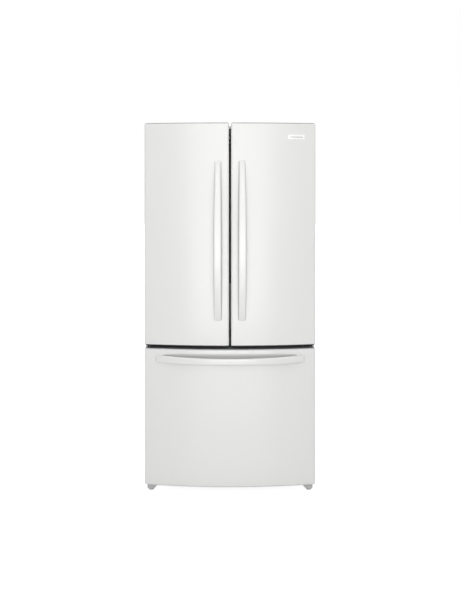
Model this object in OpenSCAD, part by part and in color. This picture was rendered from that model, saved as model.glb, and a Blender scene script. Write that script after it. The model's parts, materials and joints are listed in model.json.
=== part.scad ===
// French door refrigerator: two upper doors over one freezer drawer.
// X runs across the front, -Y is the front and Z is up from the floor.

/* [Overall size] */
// Width across both doors
width = 800; // [790:2:810]
// Height of the door tops above the floor
height = 1742; // [1736:1:1760]
// Depth of the cabinet behind the door gaskets
depth = 577; // [570:1:590]
// Thickness of the insulated cabinet walls
wall = 45; // [44:1:46]

/* [Doors and drawer] */
// Thickness of the doors at their outer edges
door_edge = 58; // [56:1:64]
// Extra thickness of the bowed fronts at the middle
bow = 45; // [35:1:50]
// Radius of the fronts' side corners
edge_r = 8; // [7:0.5:10]
// Gap between the two doors
door_gap = 10; // [9:0.5:11]
// Lower edge of the doors
door_bottom = 703; // [702:0.5:704]
// Upper edge of the drawer front
drawer_top = 688; // [686:0.5:689]
// Lower edge of the drawer front
drawer_bottom = 50; // [48:0.5:52]
// Height of the magnetic gaskets
gasket_t = 14; // [14:0.5:15]

/* [Handles] */
// How far the handles stand out from the fronts
handle_reach = 40; // [36:1:44]
// Thickness of a handle's grip
grip_t = 16; // [13:1:18]
// Width of the upright handles
handle_w = 40; // [34:1:42]
// Distance of an upright handle's middle from the centre line
handle_x = 57; // [54:1:62]
// Lower end of the upright handles
handle_z1 = 823; // [800:5:850]
// Upper end of the upright handles
handle_z2 = 1566; // [1540:2:1580]
// Length of the drawer handle
drawer_handle_l = 700; // [660:10:720]
// Height of the drawer handle's face
drawer_handle_h = 35; // [30:1:36]
// Lower edge of the drawer handle
drawer_handle_z = 622; // [610:1:630]

/* [Shelves and baskets] */
// Height of the lower shelves
shelf_low = 1190; // [1180:5:1210]
// Height of the upper shelves
shelf_high = 1430; // [1420:5:1450]
// Wall thickness of crispers, bins and baskets
tub_t = 3; // [2.5:0.5:4]

/* [Hidden] */
$fn = 48;

half_w = width / 2;
sheet = 1;
liner_t = 2.5;
fit = 0.05;
gap = 0.3;

// The cabinet: y = 0 is the plane that the gaskets close on
in_x = half_w - wall;
in_y = depth - wall;
back_t = 1.5;
back_y = depth - back_t;
cab_top = height - 8;
pan_t = 1.5;
pan_z = 50;
freezer_z = [110, 650];
food_z = [735, cab_top - wall + sheet];
machine_y = 375;
machine_z = 220;

// The fronts share one bow across the whole width
door_back = -gasket_t;
front_y = door_back - door_edge - bow;
bow_r = half_w * half_w / (2 * bow) + bow / 2;
bow_c = front_y + bow_r;
y_shift = -(depth + front_y - handle_reach) / 2;

// Doors
door_in = door_gap / 2;
cap_lip = 3;
roll_r = 6;
cap_t = 14;
flange_w = 14;
hinge_x = half_w - 22;
hinge_y = door_back - 26;
pin_r = 5;
pin_l = 26;
hinge_t = 4;
dyke_w = 24;
door_dyke = 34;
drawer_dyke = 20;
dyke_x = [44, in_x - 8];
dyke_z = [food_z[0] + 10, food_z[1] - 8];
gasket_w = 16;
gasket_x = [8, hinge_x];
gasket_z = [door_bottom + 7, food_z[1] + 28];
bin_x = [dyke_x[0] + dyke_w, dyke_x[1] - dyke_w];
bin_y = [door_back, door_back + 98];
dairy_z = [1545, 1650];
lid_y = bin_y[1] + 2;
lid_z = dairy_z[1] - 10;

// Folding mullion, parked at right angles to the door
flip_x = -32;
flip_y = 8;
flip_w = 64;
flip_t = 14;
flip_z = dyke_z;

// Fresh food fittings
duct_y = in_y - 26;
ladder_y = duct_y - 8;
shelf_x = [8, in_x - 10];
shelf_y = [112, ladder_y - 2];
shelf_t = 20;
glass_t = 4;
crisper_z = [food_z[0] + 27, food_z[0] + 199];
crisper_x = [17, 295];
crisper_y = [122, 492];
groove_z = crisper_z[1] - 6;
button_x = 40;
button_z = 1672;
button_r = 9;

// Freezer fittings
rail_z = [300, 340];
rail_y = [8, 458];
basket_z = [125, 306];
upper_z = [470, 615];
runner_z = 540;

// Feet
leg_x = half_w - 24;
leg_y = 14;
roller_x = half_w - 50;
roller_y = depth - 47;
roller_r = 18;

// Points along an arc, from the first to the last step of n
function arc(c, r, a0, a1, n, first = 0, last = -1) = [
    for (i = [first:(last < 0 ? n : last)])
        let (a = a0 + (a1 - a0) * i / n)
            [c[0] + r * cos(a), c[1] + r * sin(a)]
];

// A rectangle with round corners
function round_pts(x, y, r, n = 6) = concat(
    arc([x[1] - r, y[0] + r], r, -90, 0, n),
    arc([x[1] - r, y[1] - r], r, 0, 90, n),
    arc([x[0] + r, y[1] - r], r, 90, 180, n),
    arc([x[0] + r, y[0] + r], r, 180, 270, n)
);

// Centre of the corner that joins the bow to the side at x = e (s is 1 on the right)
function corner_c(e, s) =
    [e - s * edge_r, bow_c - sqrt(pow(bow_r - edge_r, 2) - pow(e - s * edge_r, 2))];

// Outline of a bowed front from x1 to x2, inset by t, with its flat back at yb
function front_pts(x1, x2, t, yb) =
    let (
        cl = corner_c(x1, -1),
        cr = corner_c(x2, 1),
        al = atan2(cl[1] - bow_c, cl[0]),
        ar = atan2(cr[1] - bow_c, cr[0])
    )
    concat(
        [[x1 + t, yb]],
        arc(cl, edge_r - t, -180, al, 5, 0, 4),
        arc([0, bow_c], bow_r - t, al, ar, 28),
        arc(cr, edge_r - t, ar, 0, 5, 1),
        [[x2 - t, yb]]
    );

// How far the outside of a handle stands out at s = -1 to 1 along it
function grip_out(s) = handle_reach * pow(max(0, 1 - pow(abs(s), 2.2)), 0.62);
// How far the hand gap reaches behind it
function grip_in(s) = (handle_reach - grip_t) * (1 - pow(abs(s), 2.2));

module centred() {
    translate([0, y_shift, 0]) children();
}

// A box from ranges of x, y and z
module block(x, y, z) {
    translate([x[0], y[0], z[0]]) cube([x[1] - x[0], y[1] - y[0], z[1] - z[0]]);
}

module both() {
    children();
    mirror([1, 0, 0]) children();
}

module left_side() {
    mirror([1, 0, 0]) children();
}

// Cylinders along X, Y and Z from one end to the other
module rod_x(x, y, z, r) {
    translate([x[0], y, z]) rotate([0, 90, 0]) cylinder(h = x[1] - x[0], r = r);
}

module rod_y(x, y, z, r) {
    translate([x, y[0], z]) rotate([-90, 0, 0]) cylinder(h = y[1] - y[0], r = r);
}

module rod_z(x, y, z, r) {
    translate([x, y, z[0]]) cylinder(h = z[1] - z[0], r = r);
}

// A rectangular ring seen from the front
module ring(x, y, z, w) {
    difference() {
        block(x, y, z);
        block([x[0] + w, x[1] - w], [y[0] - 1, y[1] + 1], [z[0] + w, z[1] - w]);
    }
}

// A tub that is open at the top
module tub(x, y, z, t) {
    difference() {
        block(x, y, z);
        block([x[0] + t, x[1] - t], [y[0] + t, y[1] - t], [z[0] + t, z[1] + 1]);
    }
}

module front_solid(x1, x2, z, t, yb) {
    translate([0, 0, z[0]])
        linear_extrude(z[1] - z[0])
            polygon(front_pts(x1, x2, t, yb));
}

// A bowed steel skin with flanges turned in at the back, open at both ends
module front_skin(x1, x2, z) {
    difference() {
        front_solid(x1, x2, z, 0, door_back);
        front_solid(x1, x2, [z[0] - 1, z[1] + 1], sheet, door_back - sheet);
        block([x1 + flange_w, x2 - flange_w], [door_back - 3, door_back + 1],
            [z[0] - 1, z[1] + 1]);
    }
}

// An end cap: a lip over the skin's edge and a plug inside it
module front_cap(x1, x2, z, lip_z) {
    front_solid(x1, x2, lip_z, roll_r - 1, door_back);
    front_solid(x1, x2, z, sheet, door_back - sheet);
}

// The raised ring of an inner panel, filled with foam from the front
module dyke(x, z, reach) {
    difference() {
        ring(x, [door_back - liner_t, door_back + reach], z, dyke_w);
        dyke_fill(x, z, reach);
    }
}

module dyke_fill(x, z, reach) {
    ring([x[0] + liner_t, x[1] - liner_t],
        [door_back - liner_t, door_back + reach - liner_t],
        [z[0] + liner_t, z[1] - liner_t], dyke_w - 2 * liner_t);
}

// An inner panel between the skin's flanges
module inner_panel(x, z, dyke_x, dyke_z, reach) {
    difference() {
        block(x, [door_back - liner_t, door_back], z);
        dyke_fill(dyke_x, dyke_z, reach);
    }
    dyke(dyke_x, dyke_z, reach);
}

// A fan: hub, blades and the bore for its shaft, along Z from 0
module fan_wheel(r, hub_r, h, shaft_r) {
    difference() {
        union() {
            cylinder(h = h, r = hub_r);
            for (i = [0:4])
                rotate([0, 0, i * 72])
                    translate([hub_r - 2, 0, h / 2])
                        rotate([32, 0, 0])
                            translate([0, -hub_r * 0.8, -1])
                                cube([r - hub_r, hub_r * 1.6, 2]);
        }
        translate([0, 0, -1]) cylinder(h = h + 2, r = shaft_r + fit);
    }
}

// A coil: tube rows along X through thin fins, with bends as end blocks
module finned_coil(x, y, z, rows, layers, fins, r) {
    dy = (y[1] - y[0]) / layers;
    dz = (z[1] - z[0]) / rows;
    for (i = [0:rows - 1])
        for (k = [0:layers - 1])
            rod_x([x[0] - 8, x[1] + 8], y[0] + dy * (k + 0.5), z[0] + dz * (i + 0.5), r);
    for (i = [0:fins - 1])
        block([x[0] + (x[1] - x[0] - 1) * i / (fins - 1),
            x[0] + (x[1] - x[0] - 1) * i / (fins - 1) + 1], y, z);
    for (i = [0:rows - 2])
        block(i % 2 == 0 ? [x[1] + 4, x[1] + 8] : [x[0] - 8, x[0] - 4],
            [y[0] + dy / 2 - r, y[0] + dy / 2 + r],
            [z[0] + dz * (i + 0.5), z[0] + dz * (i + 1.5)]);
}

// ---- Cabinet ----

// Painted steel sides, top, front flanges and the rail between the compartments
module cabinet_wrapper() {
    color("white") centred() {
        both() block([half_w - sheet, half_w], [0, depth], [pan_z - pan_t, cab_top]);
        block([-half_w, half_w], [0, depth], [cab_top - sheet, cab_top]);
        both() block([in_x, half_w], [0, sheet], [pan_z, cab_top]);
        for (z = [[pan_z, freezer_z[0]], [freezer_z[1], food_z[0]], [food_z[1], cab_top]])
            block([-half_w, half_w], [0, sheet], z);
    }
}

module back_panel() {
    color("gainsboro") centred()
        block([sheet - half_w, half_w - sheet], [back_y, depth],
            [machine_z + 30, cab_top - sheet]);
}

module food_block(t) {
    block([-in_x - t, in_x + t], [sheet, in_y + t], [food_z[0] - t, food_z[1] + t]);
}

module freezer_block(t) {
    block([-in_x - t, in_x + t], [sheet, machine_y - 40 + t],
        [freezer_z[0] - t, freezer_z[1] + t]);
    block([-in_x - t, in_x + t], [sheet, in_y + t],
        [machine_z + 42 - t, freezer_z[1] + t]);
}

module cabinet_foam() {
    color("lemonchiffon") centred() difference() {
        block([sheet - half_w, half_w - sheet], [sheet, back_y], [pan_z, cab_top - sheet]);
        food_block(liner_t);
        freezer_block(liner_t);
        block([-half_w, half_w], [machine_y - pan_t, depth],
            [pan_z - 1, machine_z + pan_t]);
    }
}

module fresh_food_liner() {
    color("whitesmoke") centred() difference() {
        food_block(liner_t);
        translate([0, -2, 0]) food_block(0);
        food_block(0);
    }
}

module freezer_liner() {
    color("whitesmoke") centred() difference() {
        freezer_block(liner_t);
        translate([0, -2, 0]) freezer_block(0);
        freezer_block(0);
    }
}

// One bracket for a levelling leg, with a slope on its inner side
module leg_bracket() {
    difference() {
        translate([0, 36, 0]) rotate([90, 0, 0]) linear_extrude(36)
            polygon([
                [leg_x + 17, pan_z - pan_t], [leg_x - 32, pan_z - pan_t],
                [leg_x - 32, 27], [leg_x - 13, 8], [leg_x + 14, 8], [leg_x + 17, 12]
            ]);
        rod_z(leg_x, leg_y, [0, pan_z - pan_t], pin_r + fit);
    }
}

// One pair of ears for a rear roller
module roller_ears() {
    for (x = [roller_x - 14, roller_x + 11])
        difference() {
            block([x, x + 3], [roller_y - 14, roller_y + 14], [10, pan_z - pan_t]);
            rod_x([x - 1, x + 4], roller_y, roller_r, 4 + fit);
        }
}

module base_pan() {
    color("silver") centred() {
        block([sheet - half_w, half_w - sheet], [0, back_y], [pan_z - pan_t, pan_z]);
        block([sheet - half_w, half_w - sheet], [machine_y - pan_t, machine_y],
            [pan_z, machine_z + pan_t]);
        block([sheet - half_w, half_w - sheet], [machine_y - pan_t, back_y],
            [machine_z, machine_z + pan_t]);
        both() leg_bracket();
        both() roller_ears();
    }
}

module leg() {
    foot_r = 13;
    translate([leg_x, leg_y, 0]) {
        rotate_extrude()
            polygon(concat([[0, 7.5], [0, 0]],
                arc([foot_r - 5, 5], 5, -90, 0, 5), [[foot_r, 7.5]]));
        cylinder(h = pan_z - 4, r = pin_r);
    }
}

module left_leg() {
    color("gray") centred() left_side() leg();
}

module right_leg() {
    color("gray") centred() leg();
}

module rear_roller() {
    rod_x([roller_x - 9, roller_x + 9], roller_y, roller_r, roller_r);
    rod_x([roller_x - 15, roller_x + 15], roller_y, roller_r, 4);
}

module left_rear_roller() {
    color("dimgray") centred() left_side() rear_roller();
}

module right_rear_roller() {
    color("dimgray") centred() rear_roller();
}

// ---- Machine compartment ----

module compressor() {
    can_r = 70;
    can_h = 140;
    dome = 34;
    color("black") centred() translate([-230, machine_y + 98, pan_z]) {
        translate([0, 0, 20]) rotate_extrude()
            polygon(concat([[0, 0]],
                arc([can_r - dome, dome], dome, -90, 0, 8),
                arc([can_r - dome, can_h - dome], dome, 0, 90, 8), [[0, can_h]]));
        block([-90, 90], [-60, 60], [15, 22]);
        for (x = [-78, 78])
            for (y = [-48, 48])
                rod_z(x, y, [0, 15], 11);
        block([can_r - 8, can_r + 22], [-24, 24], [70, 115]);
        rod_z(-20, 0, [can_h + 10, can_h + 29], 4);
        rod_z(20, 20, [can_h + 5, can_h + 29], 4);
    }
}

module condenser_coil() {
    color("dimgray") centred()
        finned_coil([110, 370], [machine_y + 40, machine_y + 150], [64, 200], 6, 3, 22, 3);
}

fan_y = machine_y + 98;
fan_z = 132;

module condenser_fan_motor() {
    color("gray") centred() {
        rod_x([-46, -4], fan_y, fan_z, 28);
        rod_x([-4, 36], fan_y, fan_z, 4);
        block([-34, -26], [fan_y - 12, fan_y + 12], [pan_z, fan_z]);
        block([-60, 0], [fan_y - 40, fan_y + 40], [pan_z, pan_z + 4]);
    }
}

module condenser_fan() {
    color("gainsboro") centred() translate([4, fan_y, fan_z])
        rotate([0, 90, 0]) fan_wheel(66, 16, 26, 4);
}

module rear_cover() {
    color("gray") centred() difference() {
        block([gap + sheet - half_w, half_w - sheet - gap], [back_y, depth],
            [pan_z, machine_z + 29.5]);
        for (row = [0:4])
            for (col = [-11:11])
                if (col > -8)
                    block([col * 32 - 11, col * 32 + 11], [back_y - 1, depth + 1],
                        [80 + row * 28, 88 + row * 28]);
        rod_y(-320, [back_y - 1, depth + 1], 90, 9);
    }
}

// Strain relief bushing where the supply cord enters
module cord_gland() {
    color("black") centred() difference() {
        union() {
            rod_y(-320, [back_y - 12, depth], 90, 9);
            rod_y(-320, [back_y - 14, back_y - 0.5], 90, 14);
        }
        rod_y(-320, [back_y - 20, depth + 1], 90, 4);
    }
}

// ---- Freezer air side ----

module evaporator_coil() {
    color("silver") centred()
        finned_coil([-250, 250], [in_y - 50, in_y - 6], [285, 465], 6, 2, 26, 4);
}

evap_y = in_y - 67;
evap_fan_z = 560;

module evaporator_cover() {
    color("whitesmoke") centred() {
        difference() {
            block([gap - in_x, in_x - gap], [evap_y, evap_y + 3],
                [machine_z + 42 + gap, freezer_z[1] - gap]);
            rod_y(0, [evap_y - 1, evap_y + 4], evap_fan_z, 60);
            for (i = [-8:8])
                block([i * 36 - 12, i * 36 + 12], [evap_y - 1, evap_y + 4], [280, 290]);
        }
        rod_y(0, [evap_y + 36, in_y - 2], evap_fan_z, 22);
        rod_y(0, [evap_y + 8, evap_y + 36], evap_fan_z, 3);
        for (a = [45, 135, 225, 315])
            translate([0, evap_y + 38, evap_fan_z]) rotate([0, a, 0])
                block([15, 72], [0, 6], [-4, 4]);
        for (a = [45, 135, 225, 315])
            translate([0, evap_y + 3, evap_fan_z]) rotate([0, a, 0])
                block([66, 72], [0, 41], [-4, 4]);
    }
}

module evaporator_fan() {
    color("gainsboro") centred() translate([0, evap_y + 10, evap_fan_z])
        rotate([-90, 0, 0]) fan_wheel(56, 14, 22, 3);
}

// ---- Fresh food fittings ----

module air_duct() {
    color("whitesmoke") centred() difference() {
        block([-in_x + 6, in_x - 6], [duct_y, in_y - 0.1], [food_z[0] + 10, food_z[1] - 10]);
        block([-in_x + 9, in_x - 9], [duct_y + 3, in_y - 2], [food_z[0] + 13, food_z[1] - 13]);
        for (z = [1080, 1320, 1560])
            for (x = [-150, -110, -70, 70, 110, 150])
                block([x - 14, x + 14], [duct_y - 1, duct_y + 5], [z, z + 6]);
    }
}

module control_panel() {
    color("gainsboro") centred() difference() {
        block([-80, 80], [112, 232], [food_z[1] - 35, food_z[1]]);
        both() rod_y(button_x, [111, 126], button_z, button_r + fit);
    }
}

module temp_button() {
    rod_y(button_x, [108, 120], button_z, button_r);
}

module fridge_temp_button() {
    color("silver") centred() left_side() temp_button();
}

module freezer_temp_button() {
    color("silver") centred() temp_button();
}

// Slotted uprights that the shelves hang on
module shelf_ladders() {
    color("silver") centred()
        both() for (x = [30, in_x - 33])
            difference() {
                block([x - 7, x + 7], [ladder_y, duct_y], [985, 1650]);
                for (i = [0:15])
                    block([x - 3, x + 3], [ladder_y - 1, ladder_y + 5],
                        [1000 + i * 40, 1014 + i * 40]);
            }
}

module shelf_glass(z) {
    block([shelf_x[0] + 8, shelf_x[1] - 8], [shelf_y[0] + 8, shelf_y[1] - 8],
        [z + shelf_t - glass_t, z + shelf_t]);
}

// A half-width shelf frame with two brackets
module shelf_frame(z) {
    difference() {
        block(shelf_x, shelf_y, [z, z + shelf_t]);
        block([shelf_x[0] + 14, shelf_x[1] - 14], [shelf_y[0] + 14, shelf_y[1] - 14],
            [z - 1, z + shelf_t + 1]);
        shelf_glass(z);
    }
    for (x = [30, in_x - 33])
        translate([x - 2, 0, 0]) rotate([90, 0, 90]) linear_extrude(4)
            polygon([[shelf_y[1], z], [shelf_y[1], z - 46], [shelf_y[0] + 120, z]]);
}

module shelf_frames() {
    color("white") centred() both() {
        shelf_frame(shelf_low);
        shelf_frame(shelf_high);
    }
}

module shelf_glasses() {
    color("lightcyan") centred() both() {
        shelf_glass(shelf_low);
        shelf_glass(shelf_high);
    }
}

// Cover shelf over the crispers, with the grooves that they run in
module crisper_frame() {
    top_z = crisper_z[1] + 22;
    color("whitesmoke") centred() {
        difference() {
            block([-in_x + 5, in_x - 5], [115, ladder_y - 2], [top_z, top_z + 20]);
            both() block([20, in_x - 20], [130, ladder_y - 17], [top_z - 1, top_z + 15]);
        }
        difference() {
            both() block([crisper_x[1] + 3, in_x - 5], [crisper_y[0], ladder_y - 2],
                [groove_z - 12, top_z]);
            both() block([crisper_x[1], crisper_x[1] + 9], [crisper_y[0] - 1, ladder_y],
                [groove_z - 0.5, groove_z + 6.5]);
        }
        both() block([in_x - 10, in_x - 5], [crisper_y[0], ladder_y - 2],
            [food_z[0] + 5, groove_z - 12]);
        difference() {
            block([-14, 14], [crisper_y[0], ladder_y - 2], [food_z[0] + 5, top_z]);
            both() block([8, 15], [crisper_y[0] - 1, ladder_y],
                [groove_z - 0.5, groove_z + 6.5]);
        }
    }
}

slider_z = crisper_z[1] - 50;

// A crisper with side runners, a pull and the track of its humidity slider
module crisper() {
    difference() {
        union() {
            difference() {
                block(crisper_x, crisper_y, crisper_z);
                block([crisper_x[0] + tub_t, crisper_x[1] - tub_t],
                    [crisper_y[0] + 6, crisper_y[1] - tub_t],
                    [crisper_z[0] + tub_t, crisper_z[1] + 1]);
            }
            block([crisper_x[0] - 8, crisper_x[0]], crisper_y, [groove_z, groove_z + 6]);
            block([crisper_x[1], crisper_x[1] + 8], crisper_y, [groove_z, groove_z + 6]);
            block([60, 260], [crisper_y[0] - 12, crisper_y[0]], [groove_z - 6, groove_z + 6]);
        }
        block([110, 210], [crisper_y[0] - 1, crisper_y[0] + 3], [slider_z, slider_z + 12]);
    }
}

module left_crisper() {
    color("lightcyan") centred() left_side() crisper();
}

module right_crisper() {
    color("lightcyan") centred() crisper();
}

module humidity_slider() {
    block([112, 140], [crisper_y[0] - 4, crisper_y[0] + 3 - gap],
        [slider_z + gap, slider_z + 12 - gap]);
}

module left_humidity_slider() {
    color("silver") centred() left_side() humidity_slider();
}

module right_humidity_slider() {
    color("silver") centred() humidity_slider();
}

// ---- Hinges ----

lower_z = (drawer_top + door_bottom) / 2 - hinge_t / 2;

// A plate from the cabinet to the pin, with the pin's bore
module hinge_plate(z, back) {
    difference() {
        union() {
            rod_z(hinge_x, hinge_y, [z, z + hinge_t], 11);
            block([hinge_x - 10, hinge_x + 10], [hinge_y, 1], [z, z + hinge_t]);
            if (back > 0)
                block([hinge_x - 42, hinge_x + 14], [0, back], [z, z + hinge_t]);
        }
        rod_z(hinge_x, hinge_y, [z - 1, z + hinge_t + 1], pin_r);
        if (back == 0)
            block([hinge_x - 12, hinge_x + 12], [0, 2], [z - 1, z + hinge_t + 1]);
    }
}

module hinge_brackets() {
    color("silver") centred() both() {
        hinge_plate(cab_top, 80);
        hinge_plate(lower_z, 0);
        block([hinge_x - 30, hinge_x + 14], [-4, 0], [lower_z - 10, lower_z + 12]);
    }
}

module hinge_pins() {
    color("gray") centred() both() {
        rod_z(hinge_x, hinge_y, [cab_top + hinge_t - pin_l, cab_top + hinge_t], pin_r);
        rod_z(hinge_x, hinge_y, [lower_z, lower_z + pin_l], pin_r);
    }
}

module hinge_covers() {
    color("white") centred() both() difference() {
        block([hinge_x - 48, hinge_x + 18], [6, 96], [cab_top, cab_top + 13]);
        block([hinge_x - 43, hinge_x + 15], [5, 81], [cab_top - 1, cab_top + hinge_t + gap]);
        block([hinge_x - 45, hinge_x + 15], [9, 93], [cab_top - 1, cab_top + 10]);
    }
}

// ---- Drawer slides ----

// Steel channels on the cabinet for the drawer, and runners for the upper basket
module cabinet_rails() {
    color("silver") centred() both() {
        block([in_x - 2, in_x], rail_y, rail_z);
        block([in_x - 10, in_x - 2], rail_y, [rail_z[0], rail_z[0] + 3]);
        block([in_x - 10, in_x - 2], rail_y, [rail_z[1] - 3, rail_z[1]]);
        block([in_x - 3, in_x], rail_y, [runner_z - 6, runner_z + 12]);
        block([in_x - 22, in_x - 3], rail_y, [runner_z - 6, runner_z - 0.5]);
        block([in_x - 22, in_x - 3], rail_y, [runner_z + 6.5, runner_z + 12]);
    }
}

module middle_rails() {
    color("gainsboro") centred() both() {
        block([in_x - 12, in_x - 10.5], [rail_y[0], 448], [rail_z[0] + 4, rail_z[1] - 4]);
        block([in_x - 10.5, in_x - 3], [rail_y[0], 448], [rail_z[0] + 4, rail_z[0] + 7]);
        block([in_x - 10.5, in_x - 3], [rail_y[0], 448], [rail_z[1] - 7, rail_z[1] - 4]);
    }
}

module drawer_rails() {
    face_y = door_back + drawer_dyke;
    color("silver") centred() both() {
        block([in_x - 21, in_x - 13], [face_y + 3, 438], [rail_z[0] + 6, rail_z[1] - 6]);
        block([in_x - 32, in_x - 13], [face_y, face_y + 3], [rail_z[0] - 10, rail_z[1] + 10]);
    }
}

// ---- Doors ----

// Room that the upper hinge plate needs over the door's travel
module hinge_notch() {
    rod_z(hinge_x, hinge_y, [cab_top - 4, height + 1], 15);
    block([hinge_x - 15, half_w + 1], [hinge_y - 27, door_back + 1],
        [cab_top - 4, height + 1]);
}

module hinge_blocks(r) {
    for (z = [[cab_top - 34, cab_top - 4], [door_bottom + cap_lip, door_bottom + 32]])
        difference() {
            block([hinge_x - 14, hinge_x + 18], [hinge_y - 14, hinge_y + 12], z);
            if (r > 0)
                rod_z(hinge_x, hinge_y, [z[0] - 1, z[1] + 1], r);
        }
}

module door_skin() {
    difference() {
        front_skin(door_in, half_w, [door_bottom + cap_lip, height - cap_lip]);
        hinge_notch();
    }
}

module door_caps() {
    difference() {
        union() {
            front_cap(door_in, half_w, [height - cap_t, height - cap_lip],
                [height - cap_lip, height]);
            front_cap(door_in, half_w, [door_bottom + cap_lip, door_bottom + cap_t],
                [door_bottom, door_bottom + cap_lip]);
        }
        hinge_notch();
        hinge_blocks(0);
        rod_z(hinge_x, hinge_y, [door_bottom - 1, door_bottom + 40], pin_r + fit);
    }
    hinge_blocks(pin_r + fit);
}

module door_liner() {
    inner_panel([door_in + flange_w, half_w - flange_w],
        [door_bottom + cap_t, height - cap_t], dyke_x, dyke_z, door_dyke);
}

module door_foam() {
    difference() {
        front_solid(door_in, half_w, [door_bottom + cap_t, height - cap_t], sheet,
            door_back - liner_t);
        hinge_blocks(0);
        hinge_notch();
    }
    dyke_fill(dyke_x, dyke_z, door_dyke);
}

module door_gasket() {
    ring(gasket_x, [door_back, -gap], gasket_z, gasket_w);
}

// An upright bow handle, cut to fit the bowed front
module door_handle() {
    mid_z = (handle_z1 + handle_z2) / 2;
    half_l = (handle_z2 - handle_z1) / 2;
    open = 0.84;
    base_y = front_y + 4;
    difference() {
        intersection() {
            translate([handle_x - handle_w / 2, 0, 0]) rotate([90, 0, 90])
                linear_extrude(handle_w)
                    polygon(concat(
                        [for (i = [0:40])
                            let (s = -cos(i * 4.5))
                                [front_y - grip_out(s), mid_z + s * half_l]],
                        [[base_y, handle_z2], [base_y, mid_z + open * half_l]],
                        [for (i = [0:24])
                            let (s = 1 - i / 12)
                                [front_y - grip_in(s), mid_z + s * open * half_l]],
                        [[base_y, mid_z - open * half_l], [base_y, handle_z1]]
                    ));
            translate([0, 20, 0]) rotate([90, 0, 0]) linear_extrude(400)
                polygon(round_pts([handle_x - handle_w / 2, handle_x + handle_w / 2],
                    [handle_z1, handle_z2], 15));
        }
        front_solid(door_in, half_w, [door_bottom, height], 0, door_back);
    }
}

module door_bin(z, h) {
    tub(bin_x, bin_y, [z, z + h], tub_t);
}

module left_door_skin() {
    color("white") centred() left_side() door_skin();
}

module right_door_skin() {
    color("white") centred() door_skin();
}

module left_door_liner() {
    color("whitesmoke") centred() left_side() door_liner();
}

module right_door_liner() {
    color("whitesmoke") centred() door_liner();
}

module left_door_foam() {
    color("lemonchiffon") centred() left_side() door_foam();
}

module right_door_foam() {
    color("lemonchiffon") centred() door_foam();
}

// The end caps, with the matching lugs that carry the folding mullion's pins
module left_door_caps() {
    color("silver") centred() {
        left_side() door_caps();
        for (z = [[flip_z[0] - 8, flip_z[0] - 2], [flip_z[1] + 2, flip_z[1] + 8]])
            difference() {
                block([flip_x - 10, flip_x + 6], [door_back, flip_y + 6], z);
                rod_z(flip_x, flip_y, [z[0] - 1, z[1] + 1], 3 + fit);
            }
    }
}

module right_door_caps() {
    color("silver") centred() door_caps();
}

module left_door_gasket() {
    color("lightgray") centred() left_side() door_gasket();
}

module right_door_gasket() {
    color("lightgray") centred() door_gasket();
}

module left_door_handle() {
    color("white") centred() left_side() door_handle();
}

module right_door_handle() {
    color("white") centred() door_handle();
}

module left_door_bins() {
    color("lightcyan") centred() left_side() {
        door_bin(1000, 100);
        door_bin(1225, 100);
        door_bin(1450, 100);
    }
}

// Two bins and the dairy box, whose ears hold the lid's pins
module right_door_bins() {
    color("lightcyan") centred() {
        door_bin(1000, 100);
        door_bin(1260, 100);
        difference() {
            block(bin_x, bin_y, dairy_z);
            block([bin_x[0] + tub_t, bin_x[1] - tub_t], [bin_y[0] + tub_t, bin_y[1] + 1],
                [dairy_z[0] + tub_t, dairy_z[1] - tub_t]);
        }
        for (x = [bin_x[0], bin_x[1] - tub_t])
            difference() {
                block([x, x + tub_t], [bin_y[1], lid_y + 6], [lid_z - 8, dairy_z[1]]);
                rod_x([x - 1, x + tub_t + 1], lid_y, lid_z, 2 + fit);
            }
    }
}

module dairy_lid() {
    color("lightcyan") centred() {
        block([bin_x[0] + 4, bin_x[1] - 4], [lid_y - 1.4, lid_y + 1.4],
            [dairy_z[0] + 2, lid_z]);
        rod_x([bin_x[0], bin_x[1]], lid_y, lid_z, 2);
        block([180, 212], [lid_y + 1.4, lid_y + 7], [dairy_z[0] + 4, dairy_z[0] + 10]);
    }
}

// The bar that closes the gap between the doors, on its own pins
module mullion_flipper() {
    color("dimgray") centred() {
        block([flip_x - 6, flip_x + flip_t - 6], [flip_y - 6, flip_y - 6 + flip_w], flip_z);
        rod_z(flip_x, flip_y, [flip_z[0] - 8, flip_z[1] + 8], 3);
    }
}

// ---- Freezer drawer ----

module drawer_skin() {
    color("white") centred()
        front_skin(-half_w, half_w, [drawer_bottom + cap_lip, drawer_top - cap_lip]);
}

// The inner panel, with the caps that close the skin's ends
module drawer_liner() {
    color("whitesmoke") centred() {
        inner_panel([flange_w - half_w, half_w - flange_w],
            [drawer_bottom + cap_t, drawer_top - cap_t], [-in_x + 8, in_x - 8],
            [freezer_z[0] + 8, freezer_z[1] - 8], drawer_dyke);
        front_cap(-half_w, half_w, [drawer_top - cap_t, drawer_top - cap_lip],
            [drawer_top - cap_lip, drawer_top]);
        front_cap(-half_w, half_w, [drawer_bottom + cap_lip, drawer_bottom + cap_t],
            [drawer_bottom, drawer_bottom + cap_lip]);
    }
}

module drawer_foam() {
    color("lemonchiffon") centred() {
        front_solid(-half_w, half_w, [drawer_bottom + cap_t, drawer_top - cap_t], sheet,
            door_back - liner_t);
        dyke_fill([-in_x + 8, in_x - 8], [freezer_z[0] + 8, freezer_z[1] - 8],
            drawer_dyke);
    }
}

module drawer_gasket() {
    color("lightgray") centred()
        ring([-hinge_x, hinge_x], [door_back, -gap], [80, 676], gasket_w);
}

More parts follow.
